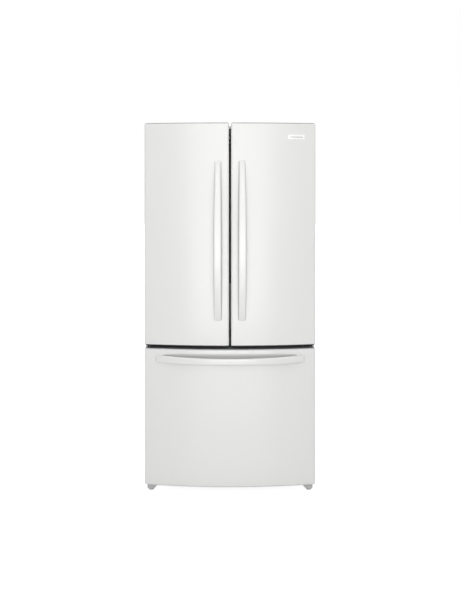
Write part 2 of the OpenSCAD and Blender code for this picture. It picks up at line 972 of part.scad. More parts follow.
// A wide handle that arches out in front of the bow
module drawer_handle() {
    half_l = drawer_handle_l / 2;
    open = 0.93;
    bow_at = function (x) bow_c - sqrt(bow_r * bow_r - x * x);
    color("white") centred() difference() {
        translate([0, 0, drawer_handle_z]) linear_extrude(drawer_handle_h)
            polygon(concat(
                [for (i = [0:40])
                    let (s = -cos(i * 4.5))
                        [s * half_l, bow_at(s * half_l) - grip_out(s)]],
                [[half_l, bow_at(half_l) + 4]],
                [for (i = [0:28])
                    let (s = 1 - i / 14)
                        [s * open * half_l, bow_at(s * open * half_l) - grip_in(s)]],
                [[-half_l, bow_at(half_l) + 4]]
            ));
        front_solid(-half_w, half_w, [drawer_bottom, drawer_top], 0, door_back);
    }
}

module freezer_basket() {
    color("lightcyan") centred() {
        tub([-in_x + 33, in_x - 33], [30, machine_y - 53], basket_z, tub_t);
        both() block([in_x - 33, in_x - 19], [40, machine_y - 57],
            [basket_z[1] - 6, basket_z[1]]);
    }
}

module upper_basket() {
    color("lightcyan") centred() {
        tub([-in_x + 27, in_x - 27], [40, 455], upper_z, tub_t);
        both() block([in_x - 27, in_x - 5], [50, 455], [runner_z, runner_z + 6]);
    }
}

cabinet_wrapper();
back_panel();
cabinet_foam();
fresh_food_liner();
freezer_liner();
base_pan();
compressor();
condenser_coil();
condenser_fan_motor();
condenser_fan();
rear_cover();
cord_gland();
evaporator_coil();
evaporator_cover();
evaporator_fan();
air_duct();
control_panel();
fridge_temp_button();
freezer_temp_button();
shelf_ladders();
shelf_frames();
shelf_glasses();
crisper_frame();
left_crisper();
right_crisper();
left_humidity_slider();
right_humidity_slider();
hinge_brackets();
hinge_pins();
hinge_covers();
left_leg();
right_leg();
left_rear_roller();
right_rear_roller();
cabinet_rails();
middle_rails();
left_door_skin();
left_door_liner();
left_door_foam();
left_door_caps();
left_door_gasket();
left_door_handle();
left_door_bins();
mullion_flipper();
right_door_skin();
right_door_liner();
right_door_foam();
right_door_caps();
right_door_gasket();
right_door_handle();
right_door_bins();
dairy_lid();
drawer_skin();
drawer_liner();
drawer_foam();
drawer_gasket();
drawer_handle();
freezer_basket();
upper_basket();
drawer_rails();
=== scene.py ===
import json
import math

import bmesh
import bpy
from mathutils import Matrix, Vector


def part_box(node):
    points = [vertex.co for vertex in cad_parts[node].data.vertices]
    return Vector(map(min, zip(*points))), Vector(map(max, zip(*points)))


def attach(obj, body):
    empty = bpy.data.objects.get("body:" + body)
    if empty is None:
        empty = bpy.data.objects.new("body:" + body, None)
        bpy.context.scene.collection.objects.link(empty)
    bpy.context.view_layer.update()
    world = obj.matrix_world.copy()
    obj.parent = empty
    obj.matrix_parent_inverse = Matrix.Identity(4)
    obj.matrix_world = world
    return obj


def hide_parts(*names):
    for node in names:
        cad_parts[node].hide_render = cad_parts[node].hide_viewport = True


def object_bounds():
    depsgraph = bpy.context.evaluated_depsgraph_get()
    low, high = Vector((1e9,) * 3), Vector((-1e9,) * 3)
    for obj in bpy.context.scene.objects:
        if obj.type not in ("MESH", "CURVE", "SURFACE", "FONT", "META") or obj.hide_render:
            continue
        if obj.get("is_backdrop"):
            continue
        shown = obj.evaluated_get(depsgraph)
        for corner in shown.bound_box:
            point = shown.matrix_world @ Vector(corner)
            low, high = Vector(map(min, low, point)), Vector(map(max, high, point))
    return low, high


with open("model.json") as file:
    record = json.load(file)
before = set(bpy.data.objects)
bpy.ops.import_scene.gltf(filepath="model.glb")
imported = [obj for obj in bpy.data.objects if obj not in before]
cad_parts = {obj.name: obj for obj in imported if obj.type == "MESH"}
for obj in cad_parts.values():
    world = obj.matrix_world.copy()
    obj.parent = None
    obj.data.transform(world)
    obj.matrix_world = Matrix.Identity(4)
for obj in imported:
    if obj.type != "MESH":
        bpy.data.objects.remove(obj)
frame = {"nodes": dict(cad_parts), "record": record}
cad_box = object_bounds()

# ---------------------------------------------------------------- dimensions

HALF_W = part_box("drawer_skin")[1][0]
FRONT_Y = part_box("drawer_skin")[0][1]
BACK_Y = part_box("drawer_skin")[1][1]
SEAL_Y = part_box("cabinet_wrapper")[0][1]
BOW = 0.045
EDGE_R = 0.008
ROLL_R = 0.0042
SHEET = 0.0009
FLANGE = 0.014
BOW_R = HALF_W**2 / (2 * BOW) + BOW / 2
BOW_C = FRONT_Y + BOW_R
NOTCH_X, NOTCH_Y, NOTCH_Z = 0.363, -0.277, 1.730
GRIP_REACH = 0.0398
GRIP_END_R = 0.0055
GRIP_SAG = 0.0030
# Painted shadow of the drawer handle: the heights over which its backplate turns from grey below
# to near-white above, and the plate's size.
HANDLE_SHADOW_Z = (0.6570, 0.6725)
BACKPLATE_HALF = 0.312
BACKPLATE_FOOT, BACKPLATE_TOP = 0.640, 0.6705
BADGE = (0.271, 0.348, 1.665, 1.686)
BADGE_LINE_Z = 1.6755
DISPLAY_Z = 1.672
GUIDES_Z = ((1.684, 1.7205), (0.679, 0.745))
RAIL_COVER_Z = (0.6775, 0.7088)
DOOR_DYKE_Z = (0.745, 1.682)
DRAWER_DYKE_Z = (0.118, 0.642)
BIN_HEIGHTS = {"left": (1.000, 1.225, 1.450), "right": (1.000, 1.260)}
DAIRY_Z = (1.545, 1.650)
DYKE_W = 0.024
SIDES = (("left", -1), ("right", 1))
# Painted shade: the black, and the band of heights below which caps and hinges are painted black
# for the shade in the gap between doors and drawer.
GAP_SHADE_BLACK = (0.03, 0.03, 0.03)
GAP_SHADE_Z = (0.76, 0.80)
EDGE_WEAR = 0.0008
FLOOR_GLOW = 0.88
LENS_MM = 52.6786
CAMERA_Z = 1.4
CAMERA_DISTANCE = 4.2


def bow_y(x):
    """Where the bowed fronts' surface lies at x."""
    return BOW_C - math.sqrt(BOW_R**2 - x**2)


# ---------------------------------------------------------------- mesh tools


def arc(centre, r, a0, a1, n):
    """n + 1 points on an arc; angles in degrees."""
    angles = [math.radians(a0 + (a1 - a0) * i / n) for i in range(n + 1)]
    return [(centre[0] + r * math.cos(a), centre[1] + r * math.sin(a)) for a in angles]


def front_profile(x1, x2, inset, back):
    """Plan outline of a bowed front, from its left back edge to its right one."""
    left_x, right_x = x1 + EDGE_R, x2 - EDGE_R
    reach = BOW_R - EDGE_R
    left = (left_x, BOW_C - math.sqrt(reach**2 - left_x**2))
    right = (right_x, BOW_C - math.sqrt(reach**2 - right_x**2))
    a_left = math.degrees(math.atan2(left[1] - BOW_C, left[0]))
    a_right = math.degrees(math.atan2(right[1] - BOW_C, right[0]))
    r = EDGE_R - inset
    return (
        [(x1 + inset, back)]
        + arc(left, r, -180, a_left, 8)[:-1]
        + arc((0, BOW_C), BOW_R - inset, a_left, a_right, 40)
        + arc(right, r, a_right, 0, 8)[1:]
        + [(x2 - inset, back)]
    )


def make_object(name, bm, material, smooth_deg=35):
    """An object from a bmesh, smooth except at edges sharper than smooth_deg."""
    mesh = bpy.data.meshes.new(name)
    bm.to_mesh(mesh)
    bm.free()
    mesh.shade_smooth()
    mesh.set_sharp_from_angle(angle=math.radians(smooth_deg))
    mesh.materials.append(material)
    obj = bpy.data.objects.new(name, mesh)
    bpy.context.collection.objects.link(obj)
    return obj


def piece(name, bm, body, slot, *nodes, material=None, smooth_deg=35):
    """A finished piece on its body, in its material slot, for its CAD nodes."""
    obj = make_object(name, bm, MATERIALS[material or slot], smooth_deg)
    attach(obj, body)
    if nodes:
        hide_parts(*nodes)
    return obj


def loft(rings, closed=True, ends="both", looped=False, bm=None):
    """A skin over rings of as many points; ends says which rings are closed over."""
    bm = bm or bmesh.new()
    rows = [[bm.verts.new(p) for p in ring] for ring in rings]
    n = len(rows[0])
    last = n if closed else n - 1
    faces = []
    for a, b in zip(rows, rows[1:] + rows[:1] if looped else rows[1:]):
        for i in range(last):
            k = (i + 1) % n
            faces.append(bm.faces.new((a[i], a[k], b[k], b[i])))
    if ends == "both" and not looped:
        faces.append(bm.faces.new(rows[0][::-1]))
    if ends != "none" and not looped:
        faces.append(bm.faces.new(rows[-1]))
    bmesh.ops.recalc_face_normals(bm, faces=faces)
    return bm


def round_rect(x1, x2, y1, y2, r, n=5):
    """A rectangle with round corners, as points in its own plane."""
    r = max(r, 0.0006)
    corners = ((x2 - r, y1 + r, -90), (x2 - r, y2 - r, 0), (x1 + r, y2 - r, 90),
               (x1 + r, y1 + r, 180))
    return [p for cx, cy, a in corners for p in arc((cx, cy), r, a, a + 90, n)]


def level_rings(rows):
    """Rings at heights, from rows of x1, x2, y1, y2, corner radius and z."""
    return [[(x, y, row[5]) for x, y in round_rect(*row[:5])] for row in rows]


def upright_rings(rows):
    """Rings that stand across the depth, from rows of x1, x2, z1, z2, radius and y."""
    return [[(x, row[5], z) for x, z in round_rect(*row[:5])] for row in rows]


def round_step(r, n=4):
    """A quarter round off a wall: how far in and how far along, both from 0 to r."""
    angles = [math.pi / 2 * k / n for k in range(n + 1)]
    return [(r * (1 - math.cos(a)), r * math.sin(a)) for a in angles]


def turn(n):
    """n equal angles round a circle."""
    return [2 * math.pi * i / n for i in range(n)]


def face_towards(bm, point):
    """Turns an open sheet so that its largest face looks at a point."""
    big = max(bm.faces, key=lambda f: f.calc_area())
    if big.normal.dot(Vector(point) - big.calc_center_median()) < 0:
        bmesh.ops.reverse_faces(bm, faces=bm.faces)
    return bm


def thicken(obj, thickness):
    """Gives a sheet its thickness behind its visible side."""
    shell = obj.modifiers.new("sheet", "SOLIDIFY")
    shell.thickness = thickness
    shell.offset = -1
    return obj


def extrude(points, along, a, b, bm=None):
    """A prism from a to b along an axis; points lie in the other two axes, in order."""
    def put(p, t):
        q = list(p)
        q.insert(along, t)
        return q
    return loft([[put(p, a) for p in points], [put(p, b) for p in points]], bm=bm)


def soften(obj, width, segments=2):
    """Small round edges from a modifier."""
    bevel = obj.modifiers.new("edges", "BEVEL")
    bevel.width = width
    bevel.segments = segments
    bevel.limit_method = "ANGLE"
    bevel.angle_limit = math.radians(40)
    bevel.use_clamp_overlap = True
    return obj


def boxes(name, slot, body, blocks, r, *nodes):
    """One piece from several round-edged blocks, each a lowest and a highest corner."""
    bm = bmesh.new()
    for lo, hi in blocks:
        rounded_box(lo, hi, min(r, min(hi[i] - lo[i] for i in range(3)) * 0.45), 2, bm)
    return piece(name, bm, body, slot, *nodes)


def mirrored(rings, side):
    """Rings as they are on the right, or mirrored for the left."""
    sign = -1 if side == "left" else 1
    return [[(sign * x, y, z) for x, y, z in ring] for ring in rings]


def rounded_box(lo, hi, r, segments=3, bm=None):
    """A box with round edges, in bm or in a new bmesh."""
    bm = bm or bmesh.new()
    made = bmesh.ops.create_cube(bm, size=1.0)["verts"]
    for v in made:
        v.co = Vector(lo[i] + (v.co[i] + 0.5) * (hi[i] - lo[i]) for i in range(3))
    edges = {e for v in made for e in v.link_edges}
    bmesh.ops.bevel(bm, geom=list(edges), offset=r, segments=segments, profile=0.5,
                    affect="EDGES", clamp_overlap=True)
    return bm


# ---------------------------------------------------------------- materials


def set_inputs(node, **inputs):
    for key, value in inputs.items():
        node.inputs[key.replace("_", " ")].default_value = value


def add_node(tree, kind, **inputs):
    """A shader node with some of its inputs set."""
    node = tree.nodes.new(f"ShaderNode{kind}")
    set_inputs(node, **inputs)
    return node


def link(tree, a, out, b, into):
    tree.links.new(a.outputs[out], b.inputs[into])


def add_noise(tree, scale, detail=4, stretch=(1, 1, 1)):
    """A noise texture in the row's own metres."""
    coords = add_node(tree, "TexCoord")
    mapping = add_node(tree, "Mapping", Scale=stretch)
    noise = add_node(tree, "TexNoise", Scale=scale, Detail=detail)
    link(tree, coords, "Object", mapping, "Vector")
    link(tree, mapping, "Vector", noise, "Vector")
    return noise


def add_range(tree, noise, low, high, start=0.3, end=0.7):
    """Maps a noise's middle range to low..high."""
    node = add_node(tree, "MapRange", From_Min=start, From_Max=end, To_Min=low, To_Max=high)
    link(tree, noise, "Fac", node, "Value")
    return node


def surface(name, base, rough, spread=0.02, mottle=6, grain=900, bump=0.1,
            stretch=(1, 1, 1), **sockets):
    """A material with soft mottling, uneven gloss and a fine grain."""
    mat = bpy.data.materials.new(name)
    mat.use_nodes = True
    tree = mat.node_tree
    shader = tree.nodes["Principled BSDF"]
    set_inputs(shader, Base_Color=(*base, 1), Roughness=rough, **sockets)
    soft = add_noise(tree, mottle, 3)
    fine = add_noise(tree, grain, 5, stretch)
    ramp = add_node(tree, "ValToRGB")
    stops = (0.3, [c * (1 - spread) for c in base]), (0.7, base)
    for element, (position, colour) in zip(ramp.color_ramp.elements, stops):
        element.position = position
        element.color = (*colour, 1)
    link(tree, soft, "Fac", ramp, "Fac")
    link(tree, ramp, "Color", shader, "Base Color")
    gloss = add_range(tree, soft, rough * 0.88, rough * 1.12)
    link(tree, gloss, "Result", shader, "Roughness")
    relief = add_node(tree, "Bump", Strength=bump, Distance=0.0004)
    link(tree, fine, "Fac", relief, "Height")
    link(tree, relief, "Normal", shader, "Normal")
    return mat


def blend_in(tree, mask, socket, value):
    """Turns what drives a socket to a value where the mask's output is 1."""
    into = tree.nodes["Principled BSDF"].inputs[socket]
    is_colour = isinstance(value, tuple)
    slot_a = 6 if is_colour else 2
    mix = add_node(tree, "Mix")
    mix.data_type = "RGBA" if is_colour else "FLOAT"
    tree.links.new(mask, mix.inputs[0])
    tree.links.new(into.links[0].from_socket, mix.inputs[slot_a])
    mix.inputs[slot_a + 1].default_value = (*value, 1) if is_colour else value
    tree.links.new(mix.outputs[2 if is_colour else 0], into)


def add_edge_wear(mat, radius, colour, roughness):
    """Rubs the edges through to another colour and gloss, unevenly."""
    tree = mat.node_tree
    bevel = add_node(tree, "Bevel", Radius=radius)
    bevel.samples = 4
    flat = add_node(tree, "NewGeometry")
    dot = add_node(tree, "VectorMath")
    dot.operation = "DOT_PRODUCT"
    link(tree, bevel, "Normal", dot, 0)
    link(tree, flat, "Normal", dot, 1)
    edge = add_node(tree, "MapRange", From_Min=0.97, From_Max=0.80)
    link(tree, dot, "Value", edge, "Value")
    patchy = add_range(tree, add_noise(tree, 160, 5), 0.0, 1.0, 0.42, 0.58)
    mask = add_node(tree, "Math")
    mask.operation = "MULTIPLY"
    link(tree, edge, "Result", mask, 0)
    link(tree, patchy, "Result", mask, 1)
    blend_in(tree, mask.outputs[0], "Base Color", colour)
    blend_in(tree, mask.outputs[0], "Roughness", roughness)


def paint_shade_by_height(mat, z1, z2, colour):
    """Paints shade into a material: blends from a colour below z1 to its own colour above z2."""
    tree = mat.node_tree
    coords = add_node(tree, "TexCoord")
    split = add_node(tree, "SeparateXYZ")
    height = add_node(tree, "MapRange", From_Min=z2, From_Max=z1)
    link(tree, coords, "Object", split, "Vector")
    link(tree, split, "Z", height, "Value")
    blend_in(tree, height.outputs["Result"], "Base Color", colour)
    return mat


MATERIALS = {
    "white_enamel": surface("white_enamel", (0.86, 0.86, 0.85), 0.24, 0.002, 4, 420, 0.015,
                            Coat_Weight=0.3, Coat_Roughness=0.2),
    "white_plastic": surface("white_plastic", (0.87, 0.87, 0.86), 0.24, 0.006, 9, 900, 0.02,
                             Coat_Weight=0.4, Coat_Roughness=0.1),
    "galvanised_sheet": surface("galvanised_sheet", (0.64, 0.65, 0.66), 0.42, 0.10, 60, 700,
                                0.12, Metallic=1.0),
    "insulation_foam": surface("insulation_foam", (0.82, 0.74, 0.50), 0.9, 0.2, 30, 300, 0.6),
    "liner_plastic": surface("liner_plastic", (0.86, 0.87, 0.87), 0.3, 0.01, 8, 700, 0.04,
                             Coat_Weight=0.2, Coat_Roughness=0.2),
    "black_paint": surface("black_paint", (0.02, 0.02, 0.022), 0.35, 0.3, 20, 600, 0.15),
    "coil_paint": surface("coil_paint", (0.05, 0.05, 0.055), 0.5, 0.3, 30, 600, 0.2),
    "motor_steel": surface("motor_steel", (0.45, 0.46, 0.47), 0.38, 0.2, 40, 900, 0.1,
                           Metallic=1.0),
    "fan_plastic": surface("fan_plastic", (0.62, 0.62, 0.6), 0.42, 0.05, 20, 1200, 0.08),
    "cover_sheet": surface("cover_sheet", (0.22, 0.225, 0.23), 0.55, 0.1, 20, 900, 0.2),
    "black_rubber": surface("black_rubber", (0.025, 0.025, 0.025), 0.7, 0.3, 40, 1500, 0.2),
    "coil_aluminium": surface("coil_aluminium", (0.72, 0.73, 0.74), 0.33, 0.12, 60, 900, 0.1,
                              (1, 1, 12), Metallic=1.0),
    "panel_plastic": surface("panel_plastic", (0.72, 0.73, 0.74), 0.35, 0.03, 20, 1400, 0.06),
    "button_plastic": surface("button_plastic", (0.5, 0.52, 0.54), 0.3, 0.05, 30, 1400, 0.05),
    "rail_steel": surface("rail_steel", (0.62, 0.63, 0.64), 0.3, 0.15, 40, 500, 0.12,
                          (1, 0.04, 1), Metallic=1.0),
    "shelf_glass": surface("shelf_glass", (0.90, 0.97, 0.95), 0.04, 0.02, 10, 300, 0.0,
                           Transmission_Weight=1.0, IOR=1.5),
    "clear_plastic": surface("clear_plastic", (0.93, 0.96, 0.97), 0.08, 0.02, 12, 300, 0.01,
                             Transmission_Weight=0.9, IOR=1.46),
    "foot_plastic": surface("foot_plastic", (0.70, 0.70, 0.70), 0.5, 0.05, 60, 1500, 0.2),
    "roller_plastic": surface("roller_plastic", (0.06, 0.06, 0.06), 0.5, 0.2, 60, 1500, 0.2),
    # Grey caps, painted black below the gap band: painted shade in the gap between doors and
    # drawer.
    "cap_plastic": paint_shade_by_height(
        surface("cap_plastic", (0.5, 0.5, 0.5), 0.5, 0.05, 30, 1400, 0.15),
        *GAP_SHADE_Z, GAP_SHADE_BLACK),
    # Hinge steel, painted black below the gap band: painted shade on the low hinges in that gap.
    "gap_shaded_hinge_steel": paint_shade_by_height(
        surface("gap_shaded_hinge_steel", (0.62, 0.63, 0.64), 0.3, 0.15, 40, 500, 0.12, Metallic=0.9),
        *GAP_SHADE_Z, GAP_SHADE_BLACK),
    # Painted light: the badge glows faintly so it reads brighter than the door; it is no lamp.
    "glowing_badge_white": surface("glowing_badge_white", (0.96, 0.96, 0.96), 0.2, 0.004, 30, 900, 0.02,
                           Emission_Color=(1, 1, 1, 1), Emission_Strength=0.12),
    # Painted shadow: near-white plastic turning grey below the handle's top, as the handle's
    # shade on the drawer front.
    "painted_handle_shadow": paint_shade_by_height(
        surface("painted_handle_shadow", (0.84, 0.84, 0.83), 0.4, 0.01, 20, 1400, 0.04),
        *HANDLE_SHADOW_Z, (0.47, 0.47, 0.47)),
    # Painted shadow: a darker grey for the top band of the leg shrouds, for the drawer's shade.
    "painted_foot_shadow": surface("painted_foot_shadow", (0.48, 0.48, 0.48), 0.5, 0.08, 60, 1500, 0.2),
    "basket_plastic": surface("basket_plastic", (0.86, 0.88, 0.89), 0.22, 0.02, 12, 500,
                              0.03, Transmission_Weight=0.35, IOR=1.46),
    "lamp_green": surface("lamp_green", (0.1, 0.7, 0.3), 0.3, 0.05, 300, 2000, 0.02,
                          Emission_Color=(0.1, 0.9, 0.35, 1), Emission_Strength=0.6),
    "gasket_rubber": surface("gasket_rubber", (0.32, 0.32, 0.32), 0.55, 0.1, 30, 1400, 0.12),
    "mullion_plastic": surface("mullion_plastic", (0.03, 0.03, 0.032), 0.4, 0.2, 30, 1200,
                               0.1),
}

WORN = {
    "black_paint": ((0.35, 0.35, 0.36), 0.35), "rail_steel": ((0.85, 0.86, 0.87), 0.2),
    "motor_steel": ((0.8, 0.81, 0.82), 0.25), "cover_sheet": ((0.5, 0.5, 0.5), 0.4),
    "coil_paint": ((0.3, 0.3, 0.3), 0.4), "roller_plastic": ((0.2, 0.2, 0.2), 0.7),
    "foot_plastic": ((0.85, 0.85, 0.85), 0.4),
}
for worn, (bare_colour, bare_roughness) in WORN.items():
    add_edge_wear(MATERIALS[worn], EDGE_WEAR, bare_colour, bare_roughness)


def dress_cad_nodes():
    """Gives every CAD node its slot's material; the low hinges are painted black as well, as
    painted shade in the gap between doors and drawer.
    """
    for part in frame["record"]["subparts"]:
        obj = frame["nodes"][part["node"]]
        obj.data.materials.clear()
        obj.data.materials.append(MATERIALS[part["material_slot"]])
    frame["nodes"]["hinge_brackets"].data.materials[0] = MATERIALS["gap_shaded_hinge_steel"]


# ---------------------------------------------------------------- fronts


def front_skin(name, x1, x2, z1, z2, body, *nodes):
    """A bowed enamel sheet with rolled ends, back flanges and room for a top hinge."""
    steps = 8
    rolls = [(ROLL_R * (1 - math.sin(a)), ROLL_R * (1 - math.cos(a)))
             for a in (math.pi / 2 * k / steps for k in range(steps + 1))]
    rows = [(inset, z1 + dz) for inset, dz in rolls]
    rows += [(0, z1 + (z2 - z1) * k / 8) for k in range(1, 8)]
    if z2 > NOTCH_Z:
        rows.append((0, NOTCH_Z))
    rows += [(inset, z2 - dz) for inset, dz in reversed(rolls)]
    rings = []
    for inset, z in rows:
        outline = front_profile(x1, x2, inset, BACK_Y)
        outline = [(x1 + FLANGE, BACK_Y)] + outline + [(x2 - FLANGE, BACK_Y)]
        rings.append([(x, y, z) for x, y in outline])
    bm = loft(rings, closed=False, ends="none")
    notch = [f for f in bm.faces if all(v.co.z > NOTCH_Z - 0.0001 and v.co.y > NOTCH_Y
                                        and abs(v.co.x) > NOTCH_X for v in f.verts)]
    bmesh.ops.delete(bm, geom=notch, context="FACES")
    middle = max(bm.faces, key=lambda f: f.calc_area())
    if middle.normal.y > 0:
        bmesh.ops.reverse_faces(bm, faces=bm.faces)
    thicken(piece(name, bm, body, "white_enamel", *nodes), SHEET)


def build_fronts():
    for side in ("left", "right"):
        lo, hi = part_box(f"{side}_door_skin")
        front_skin(f"{side}_door_front", lo[0], hi[0], lo[2], hi[2], f"{side}_door",
                   f"{side}_door_skin")
    lo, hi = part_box("drawer_skin")
    front_skin("drawer_front", lo[0], hi[0], lo[2], hi[2], "drawer", "drawer_skin")


# ---------------------------------------------------------------- handles


def superellipse(n, power):
    """Unit outline points, squarer as power grows."""
    points = []
    for i in range(n):
        a = 2 * math.pi * i / n
        c, s = math.cos(a), math.sin(a)
        points.append((math.copysign(abs(c) ** (2 / power), c),
                       math.copysign(abs(s) ** (2 / power), s)))
    return points


def grip_out(s, reach):
    """How far a grip's face stands out at s, from -1 to 1 along it."""
    return reach * max(0.0, 1 - abs(s) ** 2.2) ** 0.62


def grip_in(s, reach, open_part):
    """How far the hand gap reaches, and 0 where the grip meets the front."""
    if abs(s) >= open_part:
        return -0.0005
    return (reach - 0.0165) * (1 - (abs(s) / open_part) ** 2.2)


def handle_stations(n):
    """Places along a handle, closer together at its ends."""
    return [-math.cos(math.pi * i / n) for i in range(n + 1)]


def upright_handle(side):
    """A crowned white bow over the door, fuller in the middle, on a grey back that shows as a
    strip at its inner edge: painted shade there.
    """
    lo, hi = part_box(f"{side}_door_handle")
    mid_z, half = (lo[2] + hi[2]) / 2, (hi[2] - lo[2]) / 2
    outline = superellipse(40, 3.6)
    face_rings, back_rings = [], []
    for s in handle_stations(72):
        width = 0.0400 - (0.0103 * s**1.2 if s > 0 else 0.0047 * abs(s) ** 1.4)
        end = half * (1 - abs(s))
        if end < GRIP_END_R:
            width -= 0.02 * (1 - math.sqrt(max(0, 1 - (1 - end / GRIP_END_R) ** 2)))
        x_mid = 0.0570 - 0.0015 * s * s
        front = bow_y(x_mid) - grip_out(s, GRIP_REACH)
        behind = bow_y(x_mid) - grip_in(s, GRIP_REACH, 0.84)
        split = front + 0.72 * (behind - front)
        z = mid_z + s * half
        # The face sits narrower on the inner side, so the grey back shows there as a painted
        # shade line.
        x1, x2 = x_mid - width / 2 + 0.0026, x_mid + width / 2 - 0.0008
        face_rings.append([((x1 + x2) / 2 + u * (x2 - x1) / 2,
                            (front + split) / 2 + v * (split - front) / 2, z)
                           for u, v in outline])
        near = front + 0.34 * (behind - front)
        back_rings.append([(x_mid + u * width / 2,
                            (near + behind) / 2 + v * (behind - near) / 2,
                            mid_z + s * (half - 0.0012))
                           for u, v in outline])
    piece(f"{side}_upright_grip", loft(mirrored(face_rings, side)), f"{side}_door",
          "white_plastic", f"{side}_door_handle")
    # The grey back: partly a real back piece, its visible inner strip painted shade.
    piece(f"{side}_upright_grip_back", loft(mirrored(back_rings, side)), f"{side}_door",
          "cap_plastic")


def drawer_handle():
    """The wide arched handle of the freezer drawer, lower in its middle."""
    lo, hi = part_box("drawer_handle")
    half = hi[0]
    mid_z, height = (lo[2] + hi[2]) / 2, hi[2] - lo[2]
    outline = superellipse(40, 3.4)
    rings = []
    for s in handle_stations(96):
        x = s * half
        tall = height - 0.0045 * (1 - s * s)
        end = half * (1 - abs(s))
        if end < 0.012:
            tall -= 0.02 * (1 - math.sqrt(max(0, 1 - (1 - end / 0.012) ** 2)))
        face = bow_y(x) - grip_out(s, GRIP_REACH)
        back = bow_y(x) - grip_in(s, GRIP_REACH, 0.93)
        level = mid_z + GRIP_SAG * (2 * s * s - 1)
        mid_y, half_t = (face + back) / 2, (back - face) / 2
        rings.append([(x, mid_y + v * half_t, level + u * tall / 2) for u, v in outline])
    piece("drawer_arched_grip", loft(rings), "drawer", "white_plastic", "drawer_handle")


# ---------------------------------------------------------------- badge


def badge():
    """A plain white plate, glowing faintly as painted light, with a slim grey line in place of
    any lettering.
    """
    x1, x2, z1, z2 = BADGE
    rings = []
    for inset, depth in ((0, 0.0002), (0, 0.0016), (0.0008, 0.0022)):
        ring = []
        for cx, cz, a in ((x2, z1, -90), (x2, z2, 0), (x1, z2, 90), (x1, z1, 180)):
            r = 0.002
            sx, sz = (-1 if cx == x2 else 1), (-1 if cz == z2 else 1)
            for px, pz in arc((cx + sx * r, cz + sz * r), r - inset, a, a + 90, 4):
                ring.append((px, bow_y(px) - depth, pz))
        rings.append(ring)
    piece("badge_plate", loft(rings), "right_door", "white_plastic",
          material="glowing_badge_white", smooth_deg=50)
    mid = (x1 + x2) / 2
    rings = []
    for x in (mid - 0.03, mid - 0.015, mid, mid + 0.015, mid + 0.03):
        y = bow_y(x) - 0.0022
        rings.append([(x, y - out, BADGE_LINE_Z + dz) for out, dz in
                      ((0, -0.0014), (0, 0.0014), (0.0004, 0.0011), (0.0004, -0.0011))])
    piece("badge_line", loft(rings), "right_door", "cover_sheet")


# ---------------------------------------------------------------- outside fittings


def handle_backplate():
    """A slim plate on the drawer's front behind its handle, carrying a painted shadow: grey
    lower down, next to the handle.
    """
    steps = 48
    rings = []
    for i in range(steps + 1):
        s = 2 * i / steps - 1
        x, y = BACKPLATE_HALF * s, bow_y(BACKPLATE_HALF * s)
        top = BACKPLATE_TOP - 0.0040 * s**2 - 0.0060 * s**12
        rings.append([(x, y + 0.0004, BACKPLATE_FOOT), (x, y - 0.0012, BACKPLATE_FOOT),
                      (x, y - 0.0012, top - 0.0006), (x, y + 0.0004, top)])
    piece("drawer_handle_backplate", loft(rings), "drawer", "panel_plastic",
          material="painted_handle_shadow")


def drawer_caps():
    """Light grey end caps inside the drawer front's rolled edges."""
    lo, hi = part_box("drawer_skin")
    inset = ROLL_R - 0.001
    for name, z1, z2 in (("top", hi[2] - 0.002, hi[2] + 0.0028),
                         ("bottom", lo[2] - 0.0028, lo[2] + 0.002)):
        rings = [[(x, y, z) for x, y in front_profile(lo[0], hi[0], t, BACK_Y)]
                 for t, z in ((inset, z1), (inset, (z1 + z2) / 2), (inset, z2))]
        piece(f"drawer_{name}_cap", loft(rings), "drawer", "cap_plastic",
              material="panel_plastic")


def paint_gap_shade():
    """The mullion's guides and the rail's cover, black behind the gaps as painted shade for the
    deep shade there.
    """
    y = SEAL_Y
    # Painted shade: dark guide blocks behind the gap between the doors.
    boxes("mullion_guides", "mullion_plastic", "cabinet", [
        ((-0.0055, y - 0.012, z1), (0.0055, y - 0.0002, z2)) for z1, z2 in GUIDES_Z
    ], 0.0012)
    # Painted shade: a dark sheet over the rail behind the gap above the drawer.
    boxes("rail_cover", "mullion_plastic", "cabinet", [
        ((-0.346, y - 0.0016, RAIL_COVER_Z[0]), (0.346, y - 0.0001, RAIL_COVER_Z[1])),
    ], 0.0005)


def leg_shrouds():
    """Moulded grey covers on the leg brackets, sloped on their inner sides, with a darker band
    across the top as painted shadow under the drawer.
    """
    lo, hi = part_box("right_leg")
    mid = (lo[0] + hi[0]) / 2
    outline = [(mid + x, z) for x, z in
               ((0.0176, 0.0484), (-0.0326, 0.0484), (-0.0326, 0.0268), (-0.0134, 0.0076),
                (0.0143, 0.0076), (0.0176, 0.0116))]
    front = SEAL_Y - 0.0014
    for side, sign in SIDES:
        bm = extrude([(sign * x, z) for x, z in outline], 1, front, SEAL_Y + 0.0002)
        soften(piece(f"{side}_leg_shroud", bm, "cabinet", "foot_plastic"), 0.0006)
        ends = sorted((sign * (mid - 0.0338), sign * (mid + 0.0184)))
        # Painted shadow: a darker band across the shroud's top, under the drawer.
        band = boxes(f"{side}_leg_shroud_band", "foot_plastic", "cabinet", [
            ((ends[0], front - 0.0014, 0.0400), (ends[1], front + 0.0004, 0.0484)),
        ], 0.0006)
        band.data.materials[0] = MATERIALS["painted_foot_shadow"]


